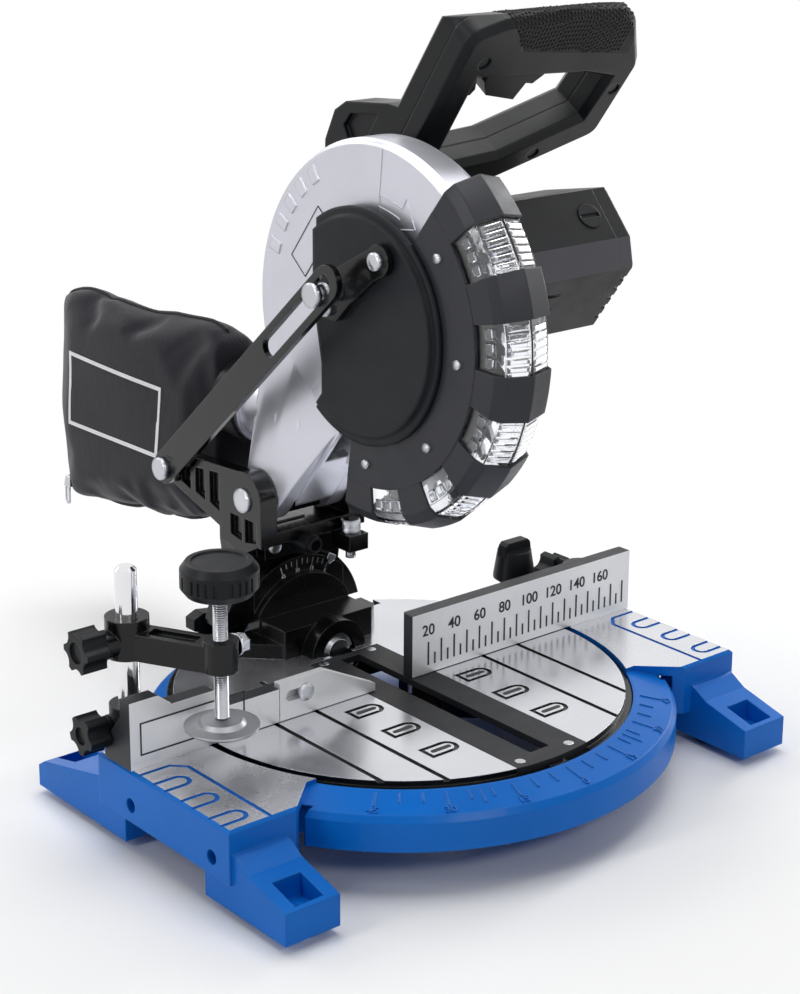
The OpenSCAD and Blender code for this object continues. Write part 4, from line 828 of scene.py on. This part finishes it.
@dataclass
class Head:
    """Upper guard shell, gear case, motor and blade, with the raised work on the shell."""

    face: float = -0.014
    out: Vector = field(default_factory=lambda: Vector((-1.0, 0.0, 0.0)))
    # Angle of the motor facet that gets a painted highlight in lighter grey.
    grey_facet: float = 169.3
    facet_spread: float = 0.985
    line_width: float = 0.0009
    line_taper: float = 0.6
    sunk: float = 0.0003
    arrow_rise: float = 0.0004
    arrow_radii: Pair = (0.0677, 0.0742)
    arrow_span: Pair = (96.5, 111.5)
    arrow_head: Pairs = (
        (0.0742, 111.5), (0.0811, 112.2), (0.0700, 122.5), (0.0612, 111.0), (0.0677, 111.5))
    plate_corners: Pairs = (
        (0.0585, 0.0170), (0.0337, 0.0488), (0.0464, 0.0595), (0.0712, 0.0277))
    plate_rise: float = 0.00018
    plate_share: float = 0.985
    border_rise: float = 0.0003

    def _is_facet(self, _: Vector, normal: Vector) -> bool:
        """Tells whether a face belongs to the motor facet that faces the front, painted lighter grey as a
        painted highlight.
        """
        return normal.dot(about_x(Vector(), 1.0, self.grey_facet, 0.0)) > self.facet_spread

    def dress(self) -> None:
        """Gives the head's CAD nodes their finishes."""
        # Black moulding, with a painted highlight: the facet that faces the front is painted lighter grey.
        for node in ("motor_housing", "motor_cap"):
            dress(node, BLACK_MOULD, (LIT_FACET_PAINT, self._is_facet))
        dress_each(SILVER, "head_casting")
        dress_each(BLACK_MOULD, "gear_case", "brush_caps", "spindle_button", "trigger_switch", "dust_collar")
        dress_each(STEEL, "armature", "bearings", "arbor", "blade_flanges")
        dress_each(COPPER, "stator")
        dress_each(BLADE_STEEL, "blade")
        dress_each(DOMED, "blade_bolt")

    def _stroke(self, sketch: Sketch, path: Sequence[Vector], rise: float) -> None:
        """Adds a raised line along points of the shell face.

        Args:
            sketch: Sketch to add to.
            path: Points in the plane of the face.
            rise: How far it stands out.
        """
        rings, sink, lift = [], self.out * self.sunk, self.out * rise
        for i, p in enumerate(path):
            way = (path[min(i + 1, len(path) - 1)] - path[max(i - 1, 0)]).normalized()
            side = self.out.cross(way) * self.line_width / 2
            rings.append([p - side - sink, p - side * self.line_taper + lift,
                          p + side * self.line_taper + lift, p + side - sink])
        sketch.loft(rings)

    def turn_arrow(self) -> None:
        """Raises the outline of the arrow that shows which way the blade turns."""
        sketch = Sketch()
        arcs = [[about_x(ARBOR, r, d, self.face) for d in np.linspace(*self.arrow_span, 12)]
                for r in self.arrow_radii]
        head = [about_x(ARBOR, r, d, self.face) for r, d in self.arrow_head]
        for path in (*arcs, [arcs[0][0], arcs[1][0]], *zip(head, head[1:])):
            self._stroke(sketch, path, self.arrow_rise)
        sketch.piece("turn_arrow", SILVER, "head", Slot.HEAD)

    def blank_plate(self) -> None:
        """Sets an empty outlined plate on the shell face."""
        corners = [Vector((self.face, ARBOR.y + y, ARBOR.z + z)) for y, z in self.plate_corners]
        border, plate = Sketch(), Sketch()
        for pair in around(corners):
            self._stroke(border, pair, self.border_rise)
        border.piece("plate_border", INK, "head", Slot.BLACK_PAINT)
        middle = sum(corners, Vector()) / 4
        plate.loft([[p - self.out * self.sunk for p in corners],
                    [middle + (p - middle) * self.plate_share + self.out * self.plate_rise for p in corners]])
        plate.piece("blank_plate", SILVER, "head", Slot.HEAD)

    def build(self) -> None:
        """Builds and dresses the head."""
        self.dress()
        self.turn_arrow()
        self.blank_plate()


@dataclass
class Guard:
    """Swinging lower guard: hub plate, ribbed frame and the blocks of its clear lens."""

    start: float = 128.0
    end: float = 279.0
    ribs: int = 6
    rib_width: float = 13.0
    rib_gap: float = 0.7
    rows: int = 6
    ridge: float = 0.118
    rise: float = 0.0009
    stagger: float = 0.35
    block_span: Pair = (0.12, 0.76)
    columns: tuple[Pairs, ...] = (
        ((0.0066, -0.0138), (0.0021, -0.0009)), ((0.0021, 0.0009), (0.0068, 0.0148)))
    side_column: Pairs = ((0.1048, -0.017), (0.0985, -0.017))
    side_span: Pair = (0.2, 1.8)
    pillow: Pairs = ((0.75, 0.1), (1.0, 0.24))
    sunk: float = 0.0002

    def lens_blocks(self) -> None:
        """Raises columns of pillow blocks on each window of the lens."""
        sketch = Sketch()
        pitch = (self.end - self.start - self.rib_width) / (self.ribs - 1)
        step = (pitch - self.rib_width - 2 * self.rib_gap) / self.rows
        for rib in range(self.ribs - 1):
            first = self.start + rib * pitch + self.rib_width + self.rib_gap
            for row in range(self.rows):
                for number, drops in enumerate(self.columns):
                    low = first + (row + self.block_span[0] + number * self.stagger) * step
                    high = min(low + self.block_span[1] * step, first + self.rows * step)
                    self._block(sketch, [(self.ridge - drop, x) for drop, x in drops], low, high)
                if row % 2 == 0:
                    low, high = (first + (row + share) * step for share in self.side_span)
                    self._block(sketch, self.side_column, low, high, side=True)
        sketch.piece("lens_blocks", CLEAR, "guard", Slot.CLEAR)

    def _block(self, sketch: Sketch, column: Sequence[Pair], low: float, high: float,
               side: bool = False) -> None:
        """Adds one pillow block.

        Args:
            sketch: Sketch to add to.
            column: Radius and X at the block's two ends across the lens.
            low: Angle where it starts.
            high: Angle where it ends.
            side: Whether it stands out along X, on the flat side of the lens.
        """
        (r0, x0), (r1, x1) = column
        rings = []
        for lift, d in ((-self.sunk, 0.0), *((self.rise * share, inset) for share, inset in self.pillow)):
            ring = []
            for u, v in ((d, d), (1 - d, d), (1 - d, 1 - d), (d, 1 - d)):
                r = r0 + (r1 - r0) * u + (0.0 if side else lift)
                x = x0 + (x1 - x0) * u - (lift if side else 0.0)
                ring.append(about_x(ARBOR, r, low + (high - low) * v, x))
            rings.append(ring)
        sketch.loft(rings)

    def build(self) -> None:
        """Builds and dresses the guard."""
        dress_each(HUB_MOULD, "guard_plate")
        dress_each(GUARD_MOULD, "guard_frame")
        dress_each(CLEAR, "guard_window")
        dress_each(BLACK_CAST, "guard_bracket")
        dress_each(DOMED, "guard_screws")
        self.lens_blocks()


@dataclass
class Handle:
    """D handle with its trigger and nubbed rubber grip."""

    bar_start: float = 0.046
    bar_end: float = 0.150
    bar_y: float = -0.286
    bar_z: float = 0.072
    reach: float = 0.06
    first_angle: int = 60
    swept: int = 300
    facing: float = 0.3
    pitch: float = 0.0030
    row_share: float = 0.87
    nub_radius: float = 0.00118
    nub_rise: float = 0.00042
    nub_rings: Pairs = ((0.72, 0.8), (0.3, 1.0))
    sunk: float = 0.0002

    def _nub(self, sketch: Sketch, at: Vector, normal: Vector) -> None:
        """Adds one low dome on the grip."""
        side = normal.orthogonal().normalized()
        other = normal.cross(side)
        turn = [(math.cos(a), math.sin(a)) for a in (math.pi * k / 3 for k in range(6))]
        sizes = [(self.nub_radius, -self.sunk)]
        sizes += [(self.nub_radius * wide, self.nub_rise * high) for wide, high in self.nub_rings]
        sketch.loft([[at + (side * c + other * s) * r + normal * h for c, s in turn] for r, h in sizes])

    def nubs(self) -> None:
        """Sets a staggered field of nubs on the grip's outer surface."""
        place = Matrix.Translation(HEAD_PIVOT) @ Matrix.Rotation(-HEAD_TRAVEL, 4, "X")
        skin, spin, sketch = skin_of(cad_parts["grip"].data), place.to_3x3(), Sketch()
        x, row = self.bar_start, 0
        while x < self.bar_end:
            last, travelled = None, self.pitch * (0.5 if row % 2 else 1.0)
            for step in range(self.swept):
                way = about_x(Vector(), 1.0, self.first_angle + step, 0.0)
                start = place @ (Vector((x, self.bar_y, self.bar_z)) + way * self.reach)
                hit, normal, _, _ = skin.ray_cast(start, spin @ -way, self.reach)
                if hit is None or normal.dot(spin @ way) < self.facing:
                    continue
                if last is not None:
                    travelled += (hit - last).length
                last = hit
                if travelled >= self.pitch:
                    travelled = 0.0
                    self._nub(sketch, hit, normal)
            x += self.pitch * self.row_share
            row += 1
        sketch.piece("grip_nubs", RUBBER, "head", Slot.RUBBER, smooth=True)

    def build(self) -> None:
        """Builds and dresses the handle."""
        dress_each(HANDLE_MOULD, "handle_lower", "handle_upper")
        dress_each(RUBBER, "grip", "cord_gland")
        dress_each(BLACK_MOULD, "trigger", "lock_off")
        dress_each(SPRING_STEEL, "handle_screws")
        self.nubs()


@dataclass(frozen=True)
class Fold:
    """One set of soft folds in the bag: smooth noise in stretched directions, fading along an axis."""

    size: float
    waves: tuple[Triple, Triple, Triple]
    shift: Triple = (0.0, 0.0, 0.0)
    fade: float = 0.0
    axis: int = 1

    def lift(self, at: Vector, shares: Sequence[float]) -> float:
        """Works out how far the folds lift a point.

        Args:
            at: The point.
            shares: How far through the bag it lies along each axis, from zero to one.

        Returns:
            The lift along the point's normal.
        """
        place = Vector(self.shift) + Vector([Vector(row).dot(at) for row in self.waves])
        return self.size * (noise.noise(place) * max(0.0, 1.0 - self.fade * shares[self.axis]))


@dataclass
class DustBag:
    """Fabric bag: a swollen shell with sewn edges, a zip and an empty printed frame."""

    voxel: float = 0.005
    soften: tuple[float, int] = (0.5, 6)
    start_inset: float = 0.0004
    cap: float = 0.006
    frames: int = 20
    pressure: float = 4.0
    mass: float = 0.25
    quality: int = 6
    mouth_depth: float = 0.012
    folds: tuple[Fold, ...] = (
        Fold(0.0011, ((12, 0, 0), (0, 14, 9), (0, 0, 26))),
        Fold(0.0012, ((0, 0, 0), (0, 9, 0), (0, 0, 48)), (3, 0, 0), 2.2),
        Fold(0.0014, ((0, 55, 0), (0, 0, 0), (0, 0, 0)), (0, 1, 7), 4.0, 2))
    probe_left: float = -0.2
    probe_low: float = -0.1
    probe_high: float = 0.4
    seam_x: float = -0.006
    seam_span: Pair = (0.156, 0.350)
    seam_points: int = 70
    seam_radius: float = 0.0013
    seam_lift: float = 0.3
    zip_span: Pair = (0.190, 0.336)
    tape_offset: float = 0.0032
    tape_radius: float = 0.0014
    tape_lift: float = 0.0002
    tooth_half: Pair = (0.0019, 0.0004)
    tooth_drop: float = 0.0006
    tooth_inset: float = 0.0002
    tooth_shares: Row = (0.0, 0.33, 0.66)
    pull_y: float = 0.3265
    pull_z: float = 0.0905
    pull_out: float = 0.001
    slider: tuple[Triple, Triple] = ((-0.0016, -0.0035, -0.001), (0.003, 0.0035, 0.006))
    slider_inset: float = 0.0008
    pull_bend: float = 0.0021
    pull_half: float = 0.0042
    pull_drop: float = 0.0066
    pull_wire: float = 0.0008
    frame_corners: Pairs = (
        (0.311, 0.1885), (0.203, 0.1865), (0.209, 0.139), (0.3145, 0.1375))
    frame_width: float = 0.0026
    frame_rise: float = 0.00035
    frame_steps: int = 24
    frame_depth: float = -0.02

    def _shell(self) -> bpy.types.Object:
        """Copies the CAD bag into a fine even mesh, drawn in a little."""
        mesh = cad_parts["dust_bag"].data.copy()
        mesh.name = "bag_shell"
        shell = new_object("bag_shell", mesh)
        remesh = shell.modifiers.new("even", "REMESH")
        remesh.mode, remesh.voxel_size = "VOXEL", self.voxel
        smooth = shell.modifiers.new("soften", "SMOOTH")
        smooth.factor, smooth.iterations = self.soften
        fine = bpy.data.meshes.new_from_object(evaluated(shell))
        shell.modifiers.clear()
        shell.data = fine
        for v, normal in [(v, v.normal.copy()) for v in fine.vertices]:
            v.co -= normal * self.start_inset
        fine.update()
        return shell

    def _points(self, mesh: bpy.types.Mesh) -> np.ndarray:
        """Returns a mesh's points as an array."""
        flat = np.zeros(len(mesh.vertices) * 3, np.float32)
        mesh.vertices.foreach_get("co", flat)
        return flat.reshape(-1, 3).astype(float)

    def _swell(self, shell: bpy.types.Object) -> None:
        """Swells the bag by cloth simulation and keeps the result in its mesh."""
        scene = bpy.context.scene
        rest = self._points(shell.data)
        mouth = shell.vertex_groups.new(name="mouth")
        front = float(rest[:, 1].min())
        mouth.add([i for i, p in enumerate(rest) if p[1] < front + self.mouth_depth], 1.0, "REPLACE")
        cloth = shell.modifiers.new("cloth", "CLOTH")
        cloth.settings.quality = self.quality
        cloth.settings.mass = self.mass
        cloth.settings.use_pressure = True
        cloth.settings.uniform_pressure_force = self.pressure
        cloth.settings.vertex_group_mass = "mouth"
        cloth.settings.effector_weights.gravity = 0.0
        cloth.point_cache.frame_start, cloth.point_cache.frame_end = 1, self.frames
        for number in range(1, self.frames + 1):
            scene.frame_set(number)
        moved = self._points(evaluated(shell).data)
        shell.modifiers.clear()
        scene.frame_set(1)
        step = moved - rest
        length = np.linalg.norm(step, axis=1, keepdims=True)
        step *= np.minimum(1.0, self.cap / np.maximum(length, 1e-9))
        shell.data.vertices.foreach_set("co", (rest + step).astype(np.float32).ravel())
        shell.data.update()

    def _wrinkle(self, shell: bpy.types.Object) -> None:
        """Adds soft folds that run from the mouth of the bag and gather along its lower edge."""
        points = self._points(shell.data)
        low, high = points.min(0), points.max(0)
        for v, normal in [(v, v.normal.copy()) for v in shell.data.vertices]:
            shares = (np.array(v.co) - low) / (high - low)
            v.co += normal * sum(fold.lift(v.co, shares) for fold in self.folds)
        shell.data.update()

    def _seams(self, skin: BVHTree) -> None:
        """Sews piping along the bag's upper edge and a zip along its lower one."""
        piping, tape, teeth = Sketch(), Sketch(), Sketch()
        top, foot = [], []
        for y in np.linspace(*self.seam_span, self.seam_points):
            above = skin.ray_cast(Vector((self.seam_x, y, self.probe_high)), DOWN)[0]
            below = skin.ray_cast(Vector((0.0, y, self.probe_low)), UP)[0]
            if above is not None:
                top.append(above + UP * (self.seam_radius * self.seam_lift))
            if below is not None and self.zip_span[0] < y < self.zip_span[1]:
                foot.append(below)
        piping.tube(top, self.seam_radius, 8)
        piping.piece("bag_piping", CANVAS, "head", Slot.FABRIC, smooth=True)
        for side in (-self.tape_offset, self.tape_offset):
            tape.tube([p + Vector((side, 0, self.tape_lift)) for p in foot], self.tape_radius, 8)
        tape.piece("bag_zip_tape", CANVAS, "head", Slot.FABRIC, smooth=True)
        wide, long = self.tooth_half
        for a, b in zip(foot, foot[1:]):
            for share in self.tooth_shares:
                place = Matrix.Translation(a.lerp(b, share) + DOWN * self.tooth_drop)
                teeth.slab(place, (-wide, -long, -self.tooth_drop), (wide, long, 2 * self.tooth_drop),
                           self.tooth_inset)
        teeth.piece("bag_zip_teeth", SPRING_STEEL, "head", Slot.BLACK_PLASTIC)

    def _pull(self, skin: BVHTree) -> None:
        """Hangs the zip's slider and its pull at the lower left corner of the bag."""
        low, high = self.slider
        side = skin.ray_cast(Vector((self.probe_left, self.pull_y, self.pull_z + high[2])), RIGHT)[0]
        at = Vector((side.x - self.pull_out, self.pull_y, self.pull_z))
        sketch, path = Sketch(), []
        sketch.slab(Matrix.Translation(at), low, high, self.slider_inset)
        for a in (2 * math.pi * k / 24 for k in range(24)):
            rise = math.copysign(self.pull_half, math.sin(a) if math.sin(a) > 0 else -1.0)
            path.append(at + Vector((-self.pull_out, self.pull_bend * math.cos(a),
                                     rise - self.pull_drop + self.pull_bend * math.sin(a))))
        sketch.tube(path, self.pull_wire, 8, closed=True)
        sketch.piece("zip_pull", ZINC, "head", Slot.ZINC)

    def _frame_print(self, skin: BVHTree) -> None:
        """Prints an empty white frame on the bag's left face."""
        corners = [Vector((0, y, z)) for y, z in self.frame_corners]
        middle, out = sum(corners, Vector()) / 4, Vector((-self.frame_rise, 0, 0))
        line = [first.lerp(second, k / self.frame_steps)
                for first, second in around(corners) for k in range(self.frame_steps)]
        rows = []
        for p in line:
            inward = middle - p
            inward = Vector((0, *(math.copysign(min(abs(d), self.frame_width), d) for d in inward.yz)))
            pair = []
            for q in (p, p + inward):
                hit = skin.ray_cast(Vector((self.probe_left, q.y, q.z)), RIGHT)[0]
                pair.append(hit if hit is not None else Vector((self.frame_depth, q.y, q.z)))
            rows.append([pair[0] - out * 0.5, pair[0] + out, pair[1] + out, pair[1] - out * 0.5])
        sketch = Sketch()
        sketch.loft(rows + rows[:1], caps=False)
        sketch.piece("bag_frame_print", LABEL_INK, "head", Slot.FABRIC)

    def build(self) -> None:
        """Builds the bag and what is sewn to it, in place of the CAD solid."""
        shell = self._shell()
        self._swell(shell)
        self._wrinkle(shell)
        shell.data.materials.clear()
        shell.data.materials.append(CANVAS.material())
        shell.data.shade_smooth()
        shell.modifiers.new("finer", "SUBSURF").render_levels = 1
        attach(shell, "head")
        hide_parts("dust_bag")
        skin = skin_of(shell.data)
        self._seams(skin)
        self._pull(skin)
        self._frame_print(skin)
        LOG.info("dust bag built from %d points", len(shell.data.vertices))


@dataclass
class WorkClamp:
    """Post, arm, spindle and pad of the work clamp."""

    wheel_foot: float = 0.1466

    def _is_wheel(self, centre: Vector, _: Vector) -> bool:
        """Tells whether a face belongs to the hand wheel."""
        return centre.z > self.wheel_foot

    def build(self) -> None:
        """Gives the clamp its finishes, with the moulded wheel apart from the spindle."""
        dress("clamp_spindle", THREAD, (BLACK_MOULD, self._is_wheel))
        dress_each(CHROME, "clamp_post")
        dress_each(BLACK_CAST, "clamp_arm")
        dress_each(ZINC, "clamp_bolt")
        dress_each(BLACK_MOULD, "clamp_knob")
        dress_each(PAD_ZINC, "clamp_pad")


@dataclass(frozen=True)
class Lamp:
    """Soft area lamp that faces the middle of the saw."""

    name: str
    at: Triple
    size: Pair
    watts: float
    aim: Triple = (0.0, 0.05, 0.18)

    def build(self) -> None:
        """Adds the lamp to the scene."""
        data = bpy.data.lights.new(self.name, "AREA")
        data.shape, data.energy = "RECTANGLE", self.watts
        data.size, data.size_y = self.size
        holder = new_object(self.name, data)
        holder.location = self.at
        holder.rotation_euler = (Vector(self.aim) - Vector(self.at)).to_track_quat("-Z", "Y").to_euler()


@dataclass
class Studio:
    """White studio: camera, lamps, world and a pale floor that keeps the shadow."""

    eye: Triple = (-0.75008, -0.89309, 0.55482)
    turn: Triple = (73.7784, -0.3040, -39.9124)
    focal_px: float = 2174.16
    axis_row: float = 407.0
    sensor: float = 36.0
    clip: Pair = (0.05, 30.0)
    floor_half: float = 4.0
    floor_colour: Colour = (0.93, 0.93, 0.93, 1.0)
    floor_roughness: float = 0.7
    floor_fade: Pair = (0.3, 0.66)
    away: Triple = (0.64, 0.77, 0.0)
    sky_away: Row = (-0.35, 0.55, 0.16, 1.0)
    sky_height: Row = (0.25, 0.8, 1.0, 0.35)
    sky_strength: float = 0.6
    lamps: tuple[Lamp, ...] = (
        Lamp("top_soft", (0.2, 0.25, 1.75), (1.6, 1.2), 20.0),
        Lamp("left_strip", (-1.6, 0.15, 0.9), (0.22, 1.4), 8.0),
        Lamp("front_soft", (-0.3, -1.8, 1.3), (0.9, 0.35), 7.5),
        Lamp("right_strip", (1.6, 0.2, 0.8), (0.22, 1.4), 9.0),
        Lamp("rear_soft", (-0.2, 1.7, 1.2), (1.4, 0.6), 8.0))

    def camera(self) -> None:
        """Sets the camera at the photograph's viewpoint."""
        data = bpy.data.cameras.new("view_camera")
        data.sensor_width = self.sensor
        data.lens = self.focal_px / max(IMAGE_SIZE) * data.sensor_width
        data.shift_y = (self.axis_row - IMAGE_SIZE[1] / 2) / max(IMAGE_SIZE)
        data.clip_start, data.clip_end = self.clip
        holder = new_object("view_camera", data)
        holder.location = self.eye
        holder.rotation_euler = Euler([math.radians(a) for a in self.turn], "XYZ")
        bpy.context.scene.camera = holder

    def _seen(self, s: NodeSketch) -> Socket:
        """Returns one for rays that come from the camera, metal or glass."""
        path = s.add("LightPath").outputs
        mirrored = s.math("MAXIMUM", path["Is Glossy Ray"], path["Is Transmission Ray"])
        return s.math("MAXIMUM", path["Is Camera Ray"], mirrored)

    def world(self) -> None:
        """Makes a white world for the camera, metal and glass, and a softer one that lights the saw."""
        world = bpy.data.worlds.new("studio")
        bpy.context.scene.world = world
        s = NodeSketch.fresh(world)
        way = s.add("TexCoord").outputs["Generated"]
        height = s.add("SeparateXYZ", {0: way}).outputs["Z"]
        behind = s.vector("DOT_PRODUCT", way, self.away)["Value"]
        sky = s.math("MULTIPLY", s.ramp(behind, *self.sky_away), s.ramp(height, *self.sky_height))
        grey = s.add("CombineColor", {0: sky, 1: sky, 2: sky}).outputs[0]
        soft = s.add("Background", {"Color": grey, "Strength": self.sky_strength}).outputs[0]
        white = s.add("Background", {"Color": WHITE, "Strength": 1.0}).outputs[0]
        both = s.add("MixShader", {0: self._seen(s), 1: soft, 2: white}).outputs[0]
        s.add("OutputWorld", {0: both})

    def floor(self) -> None:
        """Lays a pale floor that turns plain white away from the saw."""
        half = self.floor_half
        mesh = bpy.data.meshes.new("studio_floor")
        corners = [(-half, -half, 0), (half, -half, 0), (half, half, 0), (-half, half, 0)]
        mesh.from_pydata(corners, [], [(0, 1, 2, 3)])
        made = bpy.data.materials.new("pale_floor")
        s = NodeSketch.fresh(made)
        far = s.ramp(s.vector("LENGTH", s.here())["Value"], *self.floor_fade)
        matt = s.add("BsdfPrincipled", {"Base Color": self.floor_colour, "Roughness": self.floor_roughness})
        glow = s.add("Emission", {"Color": WHITE, "Strength": 1.0})
        share = s.math("MULTIPLY", far, self._seen(s))
        mixed = s.add("MixShader", {0: share, 1: matt.outputs[0], 2: glow.outputs[0]})
        s.add("OutputMaterial", {"Surface": mixed.outputs[0]})
        mesh.materials.append(made)
        floor = new_object("studio_floor", mesh)
        floor.location.z = float(CAD_BOX[0].z)

    def build(self) -> None:
        """Sets up the whole studio."""
        bpy.context.scene.view_settings.view_transform = "Standard"
        self.camera()
        self.world()
        self.floor()
        for lamp in self.lamps:
            lamp.build()


def main() -> None:
    """Builds the studio and every sub-assembly."""
    logging.basicConfig(level=logging.INFO, format="%(name)s: %(message)s")
    for part in (Studio(), Base(), Table(), Arm(), Head(), Guard(), Handle(), DustBag(), WorkClamp()):
        part.build()
        LOG.info("%s done", type(part).__name__)


if __name__ == "__main__":
    main()
